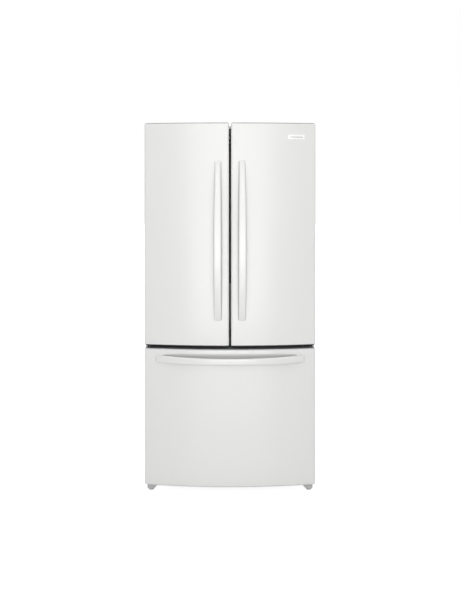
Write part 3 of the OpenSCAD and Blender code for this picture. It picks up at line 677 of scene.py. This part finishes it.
def leg_feet():
    """Ribbed levelling feet on their threaded studs."""
    for side, _ in SIDES:
        lo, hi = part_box(f"{side}_leg")
        cx, cy = (lo[0] + hi[0]) / 2, (lo[1] + hi[1]) / 2
        r = (hi[0] - lo[0]) / 2
        bm = bmesh.new()
        rings = []
        for k, z in ((0.62, 0.0), (0.86, 0.0006), (0.97, 0.0022), (1, 0.0040), (1, 0.0062),
                     (0.94, 0.0074)):
            ring = []
            for i, a in enumerate(turn(72)):
                rr = r * k * (1 - (0.035 if i % 4 > 1 and 0.9 < k else 0))
                ring.append((cx + rr * math.cos(a), cy + rr * math.sin(a), z))
            rings.append(ring)
        loft(rings, bm=bm)
        stud = []
        for i in range(54):
            z = 0.0070 + i * (hi[2] - 0.0070) / 53
            rr = 0.0049 if i % 2 else 0.0043
            stud.append([(cx + rr * math.cos(a), cy + rr * math.sin(a), z)
                         for a in turn(20)])
        loft(stud, bm=bm)
        piece(f"{side}_levelling_foot", bm, f"{side}_leg", "foot_plastic", f"{side}_leg")


def screw_heads(name, slot, places, axis, r, height):
    """Pan heads with a cross recess; each stands out along an axis from its place."""
    bm = bmesh.new()
    for spot in places:
        rings = []
        for k, h in ((1, 0), (1, 0.5), (0.82, 0.9), (0.45, 1), (0.3, 0.45)):
            ring = []
            for i, a in enumerate(turn(16)):
                pinch = 0.45 if k < 0.5 and i % 4 else 1
                p = [r * k * pinch * math.cos(a), r * k * pinch * math.sin(a)]
                p.insert(axis, height * h)
                ring.append(tuple(p[j] + spot[j] for j in range(3)))
            rings.append(ring)
        loft(rings, bm=bm)
    piece(name, bm, "cabinet", slot)


def hinge_caps():
    """Rounded white covers over the upper hinges, each held by a screw."""
    lo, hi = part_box("hinge_covers")
    r = 0.006
    steps = [(0, lo[2] + 0.0001)] + [(i, hi[2] - r + a) for i, a in round_step(r, 6)]
    bm = bmesh.new()
    for side, _ in SIDES:
        rows = [(hi[0] - 0.066 + i, hi[0] - i, lo[1] + i, hi[1] - i, 0.010 - i, z)
                for i, z in steps]
        loft(mirrored(level_rings(rows), side), bm=bm)
    piece("hinge_cover_shells", bm, "cabinet", "white_plastic", "hinge_covers")
    spots = [(sign * (hi[0] - 0.033), hi[1] - 0.018, hi[2] - 0.0016) for _, sign in SIDES]
    screw_heads("hinge_cover_screws", "rail_steel", spots, 2, 0.0042, 0.0014)


def back_sheet():
    """The galvanised back, with a pressed border, raised panels and screws."""
    lo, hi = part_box("back_panel")
    y = hi[1]
    rows = []
    for i, drop in ((0.0004, 0.0014), (0.0010, 0.0006), (0.0120, 0.0006), (0.0150, 0.0011),
                    (0.0280, 0.0011), (0.0330, 0.0003), (0.0560, 0.0003), (0.0610, 0.0011)):
        rows.append((lo[0] + i, hi[0] - i, lo[2] + i, hi[2] - i, 0.004 + i * 0.4, y - drop))
    bm = loft(upright_rings(rows), ends="last")
    x2, z1 = hi[0] - 0.078, lo[2] + 0.078
    tall = (hi[2] - 0.078 - z1) / 3
    for k in range(3):
        for _, sign in SIDES:
            a, b = sorted((sign * 0.010, sign * x2))
            rows = [(a + i, b - i, z1 + k * tall + i, z1 + (k + 1) * tall - 0.022 - i,
                     0.022 - i * 0.4, y - drop)
                    for i, drop in ((0, 0.0013), (0.005, 0.0003), (0.016, 0.0003),
                                    (0.021, 0.0009))]
            loft(upright_rings(rows), bm=bm)
    piece("back_sheet", bm, "cabinet", "galvanised_sheet", "back_panel")
    heights = [lo[2] + 0.02 + k * (hi[2] - lo[2] - 0.04) / 5 for k in range(6)]
    spots = [(sign * (hi[0] - 0.0075), y - 0.0007, z) for z in heights for _, sign in SIDES]
    spots += [(x, y - 0.0007, hi[2] - 0.0075) for x in (-0.2, 0, 0.2)]
    screw_heads("back_screws", "rail_steel", spots, 1, 0.0042, 0.0007)


def slotted_sheet(name, slot, body, xs, zs, holes, y, thickness, *nodes):
    """A sheet on a grid of lines, open where a cell's middle lies in a hole."""
    bm = bmesh.new()
    grid = [[bm.verts.new((x, y, z)) for z in zs] for x in xs]
    for i in range(len(xs) - 1):
        for k in range(len(zs) - 1):
            mx, mz = (xs[i] + xs[i + 1]) / 2, (zs[k] + zs[k + 1]) / 2
            if any(a < mx < b and c < mz < d for a, b, c, d in holes):
                continue
            bm.faces.new((grid[i][k], grid[i + 1][k], grid[i + 1][k + 1], grid[i][k + 1]))
    loose = [v for v in bm.verts if not v.link_faces]
    bmesh.ops.delete(bm, geom=loose, context="VERTS")
    face_towards(bm, (0, y + thickness * 1000, 1))
    thicken(piece(name, bm, body, slot, *nodes), abs(thickness))


def rear_cover():
    """The slotted cover of the machine compartment, with a hood over every slot."""
    lo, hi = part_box("rear_cover")
    y = hi[1] - 0.0010
    pitch, half = 0.032, 0.011
    slots = [(c * pitch - half, c * pitch + half, 0.080 + r * 0.028, 0.088 + r * 0.028)
             for r in range(5) for c in range(-7, 12)]
    xs = sorted({lo[0], hi[0]} | {x for s in slots for x in s[:2]})
    zs = sorted({lo[2], hi[2]} | {z for s in slots for z in s[2:]})
    slotted_sheet("rear_cover_sheet", "cover_sheet", "cabinet", xs, zs, slots, y, 0.0008,
                  "rear_cover")
    bm = bmesh.new()
    for x1, x2, _, z2 in slots:
        rings = []
        for k in range(7):
            t = k / 3 - 1
            out = 0.0009 * math.sqrt(max(0, 1 - t * t))
            x = (x1 + x2) / 2 + t * (half + 0.0006)
            rings.append([(x, y - 0.0004, z2 + 0.0030), (x, y + out * 0.6, z2 + 0.0016),
                          (x, y + out, z2 - 0.0014), (x, y + out - 0.0004, z2 - 0.0014),
                          (x, y - 0.0006, z2 + 0.0010)])
        loft(rings, bm=bm)
    piece("rear_cover_hoods", bm, "cabinet", "cover_sheet")
    spots = [(x, y - 0.0001, z) for x in (-0.385, -0.13, 0.13, 0.385)
             for z in (lo[2] + 0.014, hi[2] - 0.014)]
    screw_heads("rear_cover_screws", "rail_steel", spots, 1, 0.0042, 0.0010)


def roller_tyres():
    """Treaded rear rollers on their axles."""
    for side, _ in SIDES:
        lo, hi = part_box(f"{side}_rear_roller")
        cy, cz, r = (lo[1] + hi[1]) / 2, (lo[2] + hi[2]) / 2, (hi[2] - lo[2]) / 2
        mid = (lo[0] + hi[0]) / 2
        rings = []
        for dx, k in ((-0.015, 0.215), (-0.0092, 0.215), (-0.009, 0.5), (-0.009, 0.9),
                      (-0.008, 0.98), (-0.0065, 1), (-0.0022, 1), (-0.0014, 0.94),
                      (0.0014, 0.94), (0.0022, 1), (0.0065, 1), (0.008, 0.98),
                      (0.009, 0.9), (0.009, 0.5), (0.0092, 0.215), (0.015, 0.215)):
            rings.append([(mid + dx, cy + r * k * math.cos(a), cz + r * k * math.sin(a))
                          for a in turn(48)])
        piece(f"{side}_roller_tyre", loft(rings), f"{side}_rear_roller", "roller_plastic",
              f"{side}_rear_roller")


# ---------------------------------------------------------------- doors inside


BELLOWS = ((0.0010, 0.0), (0.0150, 0.0), (0.0160, 0.0012), (0.0150, 0.0030),
           (0.0125, 0.0042), (0.0150, 0.0055), (0.0157, 0.0072), (0.0135, 0.0086),
           (0.0155, 0.0100), (0.0160, 0.0118), (0.0152, 0.0137), (0.0008, 0.0137),
           (0.0, 0.0118), (0.0012, 0.0100), (0.0030, 0.0086), (0.0006, 0.0072),
           (0.0012, 0.0055), (0.0035, 0.0042), (0.0006, 0.0030), (0.0, 0.0012))


def gasket(node, body):
    """A soft magnetic seal with folded bellows, as one closed frame."""
    lo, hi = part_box(node)
    rows = [(lo[0] + i, hi[0] - i, lo[2] + i, hi[2] - i, 0.0022, lo[1] + d)
            for i, d in BELLOWS]
    bm = loft(upright_rings(rows), looped=True)
    piece(f"{node}_bellows", bm, body, "gasket_rubber", node, smooth_deg=50)


def inner_panel(name, body, rim, dyke, reach, *nodes):
    """A formed inner panel: a flat rim, a raised round-edged ring and a shallow pan."""
    y, r = BACK_Y, 0.008
    (rx1, rx2, rz1, rz2), (dx1, dx2, dz1, dz2) = rim, dyke
    rows = [(rx1 + i, rx2 - i, rz1 + i, rz2 - i, 0.003, y + d)
            for i, d in ((0, -0.0012), (0.0008, 0))]
    wall = round_step(r, 5)
    steps = [(-0.003, 0), (-0.0008, 0.0008), (0, 0.003)]
    steps += [(i, reach - r + a) for i, a in wall]
    steps += [(DYKE_W - i, reach - r + a) for i, a in reversed(wall)]
    steps += [(DYKE_W + i, 0.0065 - a) for i, a in round_step(0.006)]
    rows += [(dx1 + i, dx2 - i, dz1 + i, dz2 - i, 0.014 - 0.1 * i, y + d) for i, d in steps]
    bm = loft(upright_rings(rows), ends="last")
    face_towards(bm, (0, 1, 1))
    thicken(piece(name, bm, body, "liner_plastic", *nodes), 0.0018)


def door_panels():
    """Both doors' inner panels, with lugs under the bins."""
    for side, _ in SIDES:
        lo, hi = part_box(f"{side}_door_liner")
        bins_lo, bins_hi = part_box(f"{side}_door_bins")
        dyke = (bins_lo[0] - DYKE_W, bins_hi[0] + DYKE_W, *DOOR_DYKE_Z)
        inner_panel(f"{side}_door_panel", f"{side}_door", (lo[0], hi[0], lo[2], hi[2]), dyke,
                    hi[1] - BACK_Y, f"{side}_door_liner")
        lugs = []
        for z in BIN_HEIGHTS[side]:
            for x1, x2 in ((bins_lo[0] - 0.001, bins_lo[0] + 0.010),
                           (bins_hi[0] - 0.010, bins_hi[0] + 0.001)):
                lugs.append(((x1, BACK_Y + 0.002, z - 0.0100), (x2, BACK_Y + 0.030, z - 0.0006)))
        boxes(f"{side}_bin_lugs", "liner_plastic", f"{side}_door", lugs, 0.003)


def drawer_panel():
    """The drawer's inner panel, inside its gasket."""
    lo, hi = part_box("drawer_liner")
    half = -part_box("fresh_food_liner")[0][0] - 0.0105
    rim = (lo[0] + 0.0095, hi[0] - 0.0095, lo[2] + 0.014, hi[2] - 0.014)
    inner_panel("drawer_panel", "drawer", rim, (-half, half, *DRAWER_DYKE_Z),
                hi[1] - BACK_Y, "drawer_liner")


def tub_steps(z1, z2, wall, foot=0.006, rim=0.0022, taper=0.004):
    """A tub's wall as (inset, height) steps: foot, tapered side, rolled rim, inside."""
    steps = [(rim + taper + i, z1 + foot - a) for i, a in reversed(round_step(foot))]
    steps += [(rim, z2 - 0.0066), (rim * 0.4, z2 - 0.0060), (0, z2 - 0.0048),
              (0, z2 - 0.0012), (0.0012, z2), (rim + wall - 0.0008, z2),
              (rim + wall, z2 - 0.0008)]
    steps += [(rim + taper + wall + i, z1 + wall + foot - a) for i, a in round_step(foot)]
    return steps


def tub_rings(lo, hi, wall, corner, **shape):
    """Rings of a round-cornered tub that fills a box."""
    return level_rings([(lo[0] + i, hi[0] - i, lo[1] + i, hi[1] - i, corner - i * 0.5, z)
                        for i, z in tub_steps(lo[2], hi[2], wall, **shape)])


def door_bins():
    """Clear bins with a white rail round their rims."""
    for side, _ in SIDES:
        lo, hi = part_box(f"{side}_door_bins")
        y1, y2 = lo[1] + 0.0004, lo[1] + 0.098
        for i, z in enumerate(BIN_HEIGHTS[side]):
            name = f"{side}_bin_{i + 1}"
            bm = loft(tub_rings((lo[0] + 0.0006, y1, z), (hi[0] - 0.0006, y2, z + 0.1),
                                0.0026, 0.02))
            for k in range(1, 12):
                x = lo[0] + (hi[0] - lo[0]) * k / 12
                rounded_box((x - 0.0012, y2 - 0.0036, z + 0.022), (x + 0.0012, y2 - 0.0014,
                            z + 0.072), 0.0008, 2, bm)
            nodes = [f"{side}_door_bins"] if i == 0 else []
            piece(name, bm, f"{side}_door", "clear_plastic", *nodes)
            rail = [(0.0002, z + 0.088), (-0.0004, z + 0.0890), (-0.0004, z + 0.0994),
                    (0.0006, z + 0.1006), (0.0054, z + 0.1006), (0.0058, z + 0.0998),
                    (0.0030, z + 0.0990), (0.0016, z + 0.0960), (0.0016, z + 0.0890)]
            rows = [(lo[0] + 0.0006 + j, hi[0] - 0.0006 - j, y1 + j, y2 - j, 0.02 - j, h)
                    for j, h in rail]
            piece(f"{name}_rail", loft(level_rings(rows), looped=True), f"{side}_door",
                  "white_plastic")


def dairy_box():
    """The closed dairy compartment's shell and ears; its lid stays as the CAD has it."""
    lo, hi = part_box("right_door_bins")
    z1, z2 = DAIRY_Z
    y1, y2 = lo[1] + 0.0004, lo[1] + 0.098
    x1, x2 = lo[0] + 0.0006, hi[0] - 0.0006
    steps = [(i, y1 + 0.004 - a) for i, a in reversed(round_step(0.004))]
    steps += [(0, y2 - 0.001), (0.001, y2), (0.002, y2), (0.0028, y2 - 0.001)]
    steps += [(0.0028 + i, y1 + 0.0068 - a) for i, a in round_step(0.004)]
    rows = [(x1 + i, x2 - i, z1 + i, z2 - i, 0.006 - i * 0.5, y) for i, y in steps]
    bm = loft(upright_rings(rows))
    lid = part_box("dairy_lid")
    for a in (lo[0] + 0.0002, hi[0] - 0.0030):
        rounded_box((a, y2 - 0.004, 1.6325), (a + 0.0028, lid[1][1] + 0.001, z2 - 0.0004),
                    0.001, 2, bm)
    piece("dairy_box", bm, "right_door", "clear_plastic")


# ---------------------------------------------------------------- inside


def food_liner():
    """The moulded inside of the fresh food compartment, round in its corners."""
    lo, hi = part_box("fresh_food_liner")
    t, r = 0.0025, 0.006
    x, z1, z2, y2 = hi[0] - t, lo[2] + t, hi[2] - t, hi[1] - t
    rows = [(-x, x, z1, z2, 0.0008, lo[1] - 0.0006), (-x, x, z1, z2, 0.012, lo[1] + 0.03)]
    rows += [(i - x, x - i, z1 + i, z2 - i, 0.012 - i * 0.6, y2 - r + a)
             for i, a in round_step(r)]
    bm = loft(upright_rings(rows), ends="last")
    face_towards(bm, (0, 0, 1.2))
    thicken(piece("food_compartment", bm, "cabinet", "liner_plastic", "fresh_food_liner"),
            0.002)


def shelf_trims():
    """Rounded white noses on the shelves' front edges."""
    lo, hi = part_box("shelf_frames")
    glass_lo, glass_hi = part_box("shelf_glasses")
    blocks = []
    for z in (glass_lo[2] + 0.004 - 0.020, glass_hi[2] - 0.020):
        for _, sign in SIDES:
            a, b = sorted((sign * 0.0074, sign * (hi[0] + 0.0006)))
            blocks.append(((a, lo[1] - 0.002, z - 0.001), (b, lo[1] + 0.0095, z + 0.0212)))
            blocks.append(((a, hi[1] - 0.010, z + 0.0195), (b, hi[1] - 0.001, z + 0.0240)))
    boxes("shelf_noses", "white_plastic", "cabinet", blocks, 0.004)


def crispers():
    """Clear vegetable drawers with a slotted front, white pulls and side runners."""
    for side, sign in SIDES:
        body = f"{side}_crisper"
        lo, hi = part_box(f"{side}_crisper")
        slider_lo, slider_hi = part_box(f"{side}_humidity_slider")
        x1, x2, z1, z2 = lo[0] + 0.008, hi[0] - 0.008, lo[2], hi[2]
        y1, y2 = lo[1] + 0.012, hi[1]
        bm = loft(tub_rings((x1, y1 + 0.0031, z1), (x2, y2, z2), 0.0028, 0.012, rim=0.0008,
                            taper=0.003))
        piece(f"{side}_crisper_tub", bm, body, "clear_plastic", f"{side}_crisper")
        near = min(abs(slider_lo[0]), abs(slider_hi[0])) - 0.002
        track = sorted((sign * near, sign * (near + 0.100)))
        hole = (track[0], track[1], slider_lo[2] - 0.0003, slider_hi[2] + 0.0003)
        xs = sorted({x1, x2, *hole[:2]} | {x1 + (x2 - x1) * k / 6 for k in range(1, 6)})
        zs = sorted({z1, z2, *hole[2:]})
        slotted_sheet(f"{side}_crisper_front", "clear_plastic", body, xs, zs, [hole],
                      y1, -0.0030)
        blocks = []
        a, b = sorted((sign * 0.060, sign * 0.260))
        groove = z2 - 0.006
        blocks.append(((a, lo[1], groove - 0.006), (b, y1 + 0.0002, groove + 0.006)))
        for c, d in ((lo[0], x1 + 0.0004), (x2 - 0.0004, hi[0])):
            blocks.append(((c, y1, groove), (d, y2, groove + 0.006)))
        for k in range(3):
            z = z1 + 0.030 + k * 0.012
            blocks.append(((x1 + 0.02, y1 - 0.0011, z), (x2 - 0.02, y1 + 0.0004, z + 0.004)))
        blocks.append(((track[0] - 0.002, y1 - 0.0009, hole[3] + 0.0006),
                       (track[1] + 0.002, y1 + 0.0004, hole[3] + 0.0028)))
        blocks.append(((track[0] - 0.002, y1 - 0.0009, hole[2] - 0.0028),
                       (track[1] + 0.002, y1 + 0.0004, hole[2] - 0.0006)))
        boxes(f"{side}_crisper_trim", "white_plastic", body, blocks, 0.0022)


def control_details():
    """The lamp's lens and a dark strip of small plain lights between the buttons."""
    lo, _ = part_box("control_panel")
    boxes("lamp_lens", "clear_plastic", "cabinet", [
        ((-0.055, lo[1] + 0.022, lo[2] - 0.006), (0.055, lo[1] + 0.098, lo[2] + 0.001)),
    ], 0.004)
    boxes("display_strip", "black_paint", "cabinet", [
        ((-0.024, lo[1] - 0.0009, DISPLAY_Z - 0.006),
         (0.024, lo[1] + 0.0006, DISPLAY_Z + 0.006)),
    ], 0.001)
    bm = bmesh.new()
    for x in (-0.018, -0.009, 0.009, 0.018):
        rounded_box((x - 0.0012, lo[1] - 0.0014, DISPLAY_Z - 0.0012),
                    (x + 0.0012, lo[1] - 0.0004, DISPLAY_Z + 0.0012), 0.0004, 2, bm)
    piece("display_lights", bm, "cabinet", "button_plastic", material="lamp_green")


def torus(centre, ring_r, r, n, m, bm):
    """A ring in the upright plane across the depth."""
    rings = []
    for b in turn(m):
        rr, y = ring_r + r * math.cos(b), centre[1] + r * math.sin(b)
        rings.append([(centre[0] + rr * math.cos(a), y, centre[2] + rr * math.sin(a))
                      for a in turn(n)])
    loft(rings, looped=True, bm=bm)


def fan_guard():
    """Rings and spokes over the evaporator fan's opening."""
    lo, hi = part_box("evaporator_fan")
    panel_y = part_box("evaporator_cover")[0][1]
    centre = ((lo[0] + hi[0]) / 2, panel_y - 0.0016, (lo[2] + hi[2]) / 2)
    bm = bmesh.new()
    for ring_r in (0.014, 0.026, 0.038, 0.050, 0.0625):
        torus(centre, ring_r, 0.0012, 48, 8, bm)
    for k in range(4):
        a = math.pi / 4 + math.pi / 2 * k
        c, s = math.cos(a), math.sin(a)
        rings = []
        for reach in (0.006, 0.064):
            x, z = centre[0] + reach * c, centre[2] + reach * s
            rings.append([(x - 0.0016 * s, centre[1] - 0.0010, z + 0.0016 * c),
                          (x + 0.0016 * s, centre[1] - 0.0010, z - 0.0016 * c),
                          (x + 0.0016 * s, centre[1] + 0.0012, z - 0.0016 * c),
                          (x - 0.0016 * s, centre[1] + 0.0012, z + 0.0016 * c)])
        loft(rings, bm=bm)
    piece("evaporator_fan_guard", bm, "cabinet", "liner_plastic")


def fan(node, body, axis):
    """A moulded fan: a domed hub and five twisted, curved blades round an axis."""
    lo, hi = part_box(node)
    mid = [(lo[i] + hi[i]) / 2 for i in range(3)]
    half = (hi[axis] - lo[axis]) / 2
    across = [i for i in range(3) if i != axis]
    tip = (hi[across[0]] - lo[across[0]]) / 2 * 0.985
    hub = tip * 0.245

    def put(r, a, h):
        p = [0, 0, 0]
        p[across[0]] = mid[across[0]] + r * math.cos(a)
        p[across[1]] = mid[across[1]] + r * math.sin(a)
        p[axis] = mid[axis] + h
        return p

    bm = bmesh.new()
    rings = [[put(hub * k, a, half * h) for a in turn(32)]
             for k, h in ((0.32, -0.9), (0.92, -1), (1, -0.93), (1, 0.8), (0.9, 0.97),
                          (0.32, 1))]
    loft(rings, bm=bm)
    for start in turn(5):
        sections = []
        for k in range(9):
            t = k / 8
            r = hub * 0.9 + (tip - hub * 0.9) * t
            chord = (0.50 + 0.30 * math.sin(math.pi * min(1, t * 0.9))) * (1 - 0.25 * t**6)
            section = []
            for j in range(14):
                u = (j if j < 7 else 13 - j) / 6 - 0.5
                thick = 0.0010 * math.sqrt(max(0.02, 1 - (2 * u) ** 2))
                rise = half * 0.78 * (-2 * u) * (1 - 0.3 * t) + half * 0.16 * (1 - 4 * u * u)
                a = start + u * chord + 0.25 * t
                section.append(put(r, a, rise + (thick if j < 7 else -thick)))
            sections.append(section)
        loft(sections, bm=bm)
    piece(f"{node}_wheel", bm, body, "fan_plastic", node)


def basket(node, body, side_w, runner_z, near, far):
    """A ribbed freezer basket with a rolled rim, a finger hold and side runners."""
    lo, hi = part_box(node)
    x1, x2, y1, y2 = lo[0] + side_w, hi[0] - side_w, lo[1], hi[1]
    bm = loft(tub_rings((x1, y1, lo[2]), (x2, y2, hi[2]), 0.003, 0.03, rim=0.004,
                        taper=0.008, foot=0.012))
    count = 20
    for k in range(1, count):
        x = x1 + 0.012 + (x2 - x1 - 0.024) * k / count
        for y in (y1 + 0.0012, y2 - 0.0032):
            rounded_box((x - 0.0016, y, lo[2] + 0.03), (x + 0.0016, y + 0.0020,
                        hi[2] - 0.03), 0.0008, 2, bm)
    piece(f"{node}_tub", bm, body, "clear_plastic", node, material="basket_plastic")
    z1, z2 = (z + (hi[2] if runner_z is None else runner_z) for z in (-0.006, 0))
    blocks = [((lo[0], y1 + near, z1), (x1 + 0.006, y2 - far, z2)),
              ((x2 - 0.006, y1 + near, z1), (hi[0], y2 - far, z2)),
              ((-0.06, y1 + 0.0004, hi[2] - 0.012), (0.06, y1 + 0.0100, hi[2] - 0.0005))]
    boxes(f"{node}_runners", "white_plastic", body, blocks, 0.002)


CAD_EDGES = {
    "cabinet_wrapper": 0.0006, "control_panel": 0.0030, "air_duct": 0.0010,
    "crisper_frame": 0.0012, "shelf_frames": 0.0016, "shelf_glasses": 0.0008,
    "freezer_liner": 0.0008, "evaporator_cover": 0.0006, "hinge_brackets": 0.0006,
    "cabinet_rails": 0.0004, "middle_rails": 0.0003, "drawer_rails": 0.0006,
    "shelf_ladders": 0.0004, "base_pan": 0.0004, "left_door_caps": 0.0004,
    "right_door_caps": 0.0004, "mullion_flipper": 0.0015, "dairy_lid": 0.0006,
    "left_humidity_slider": 0.0012, "right_humidity_slider": 0.0012, "cord_gland": 0.0008,
    "fridge_temp_button": 0.0012, "freezer_temp_button": 0.0012, "compressor": 0.0010,
    "condenser_fan_motor": 0.0010,
}


def soften_cad_nodes():
    """Small round edges on the CAD solids that stay in view."""
    for node, width in CAD_EDGES.items():
        soften(frame["nodes"][node], width)


# ---------------------------------------------------------------- stage


def area_light(name, place_at, target, size, power, colour=(1, 1, 1)):
    data = bpy.data.lights.new(name, "AREA")
    data.shape = "RECTANGLE"
    data.size, data.size_y = size
    data.energy = power
    data.color = colour
    obj = bpy.data.objects.new(name, data)
    obj.location = place_at
    obj.rotation_euler = (Vector(target) - Vector(place_at)).to_track_quat("-Z", "Y").to_euler()
    obj.visible_camera = False
    bpy.context.collection.objects.link(obj)
    return obj


def build_floor():
    """A pale floor that reads as white as the background, save for soft shadows."""
    bm = bmesh.new()
    size = 40
    corners = [(-size, -size), (size, -size), (size, size), (-size, size)]
    bm.faces.new([bm.verts.new((x, y, 0)) for x, y in corners])
    mat = surface("floor_white", (0.8, 0.8, 0.8), 0.22, 0.002, 2, 200, 0.0)
    tree = mat.node_tree
    glow = add_node(tree, "Emission", Strength=FLOOR_GLOW)
    path = add_node(tree, "LightPath")
    seen = add_node(tree, "MixShader")
    both = add_node(tree, "AddShader")
    link(tree, path, "Is Camera Ray", seen, "Fac")
    link(tree, glow, "Emission", seen, 2)
    link(tree, tree.nodes["Principled BSDF"], "BSDF", both, 0)
    link(tree, seen, "Shader", both, 1)
    link(tree, both, "Shader", tree.nodes["Material Output"], "Surface")
    obj = make_object("floor", bm, mat)
    obj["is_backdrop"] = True


def build_world():
    """White to the camera, and a soft sky that is brighter above for the light."""
    world = bpy.data.worlds.new("studio")
    world.use_nodes = True
    bpy.context.scene.world = world
    tree = world.node_tree
    white = (1, 1, 1, 1)
    back = tree.nodes["Background"]
    set_inputs(back, Color=white)
    seen = add_node(tree, "Background", Color=white, Strength=1.0)
    coords = add_node(tree, "TexCoord")
    split = add_node(tree, "SeparateXYZ")
    ramp = add_node(tree, "MapRange", From_Min=-0.6, From_Max=0.8, To_Min=0.24, To_Max=0.57)
    link(tree, coords, "Generated", split, "Vector")
    link(tree, split, "Z", ramp, "Value")
    link(tree, ramp, "Result", back, "Strength")
    path = add_node(tree, "LightPath")
    mix = add_node(tree, "MixShader")
    link(tree, path, "Is Camera Ray", mix, "Fac")
    link(tree, back, "Background", mix, 1)
    link(tree, seen, "Background", mix, 2)
    link(tree, mix, "Shader", tree.nodes["World Output"], "Surface")


def build_lights():
    area_light("front_softbox", (0, -6.0, 1.9), (0, -0.3, 1.2), (3.4, 3.4), 90)
    area_light("near_softbox", (0, -2.6, 2.7), (0, -0.3, 1.3), (1.4, 0.9), 4.5)
    area_light("low_softbox", (0, -4.0, 0.03), (0, -3.4, 1.0), (2.2, 3.6), 41)
    area_light("drawer_softbox", (0, -2.4, 1.0), (0, -0.3, 0.45), (0.7, 0.7), 1.1)
    area_light("top_softbox", (0, -0.8, 4.5), (0, -0.4, 0.0), (5, 4), 33)


def build_camera():
    """Level camera a little above the middle, shifted down to frame the object."""
    data = bpy.data.cameras.new("camera")
    data.sensor_width = 36
    data.lens = LENS_MM
    data.shift_y = -0.18
    obj = bpy.data.objects.new("camera", data)
    obj.location = (0, bow_y(HALF_W) - CAMERA_DISTANCE, CAMERA_Z)
    obj.rotation_euler = (math.pi / 2, 0, 0)
    bpy.context.collection.objects.link(obj)
    bpy.context.scene.camera = obj


dress_cad_nodes()
soften_cad_nodes()
build_fronts()
upright_handle("left")
upright_handle("right")
drawer_handle()
handle_backplate()
badge()
drawer_caps()
paint_gap_shade()
leg_shrouds()
leg_feet()
hinge_caps()
back_sheet()
rear_cover()
roller_tyres()
for side, _ in SIDES:
    gasket(f"{side}_door_gasket", f"{side}_door")
gasket("drawer_gasket", "drawer")
door_panels()
drawer_panel()
door_bins()
dairy_box()
food_liner()
shelf_trims()
crispers()
control_details()
fan_guard()
fan("evaporator_fan", "evaporator_fan", 1)
fan("condenser_fan", "condenser_fan", 0)
basket("freezer_basket", "drawer", 0.014, None, 0.010, 0.004)
basket("upper_basket", "upper_basket", 0.022, 0.546, 0.010, 0)
build_floor()
build_world()
build_lights()
build_camera()
bpy.context.scene.view_settings.view_transform = "Standard"

boxes = {"cad": cad_box, "visual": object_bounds()}
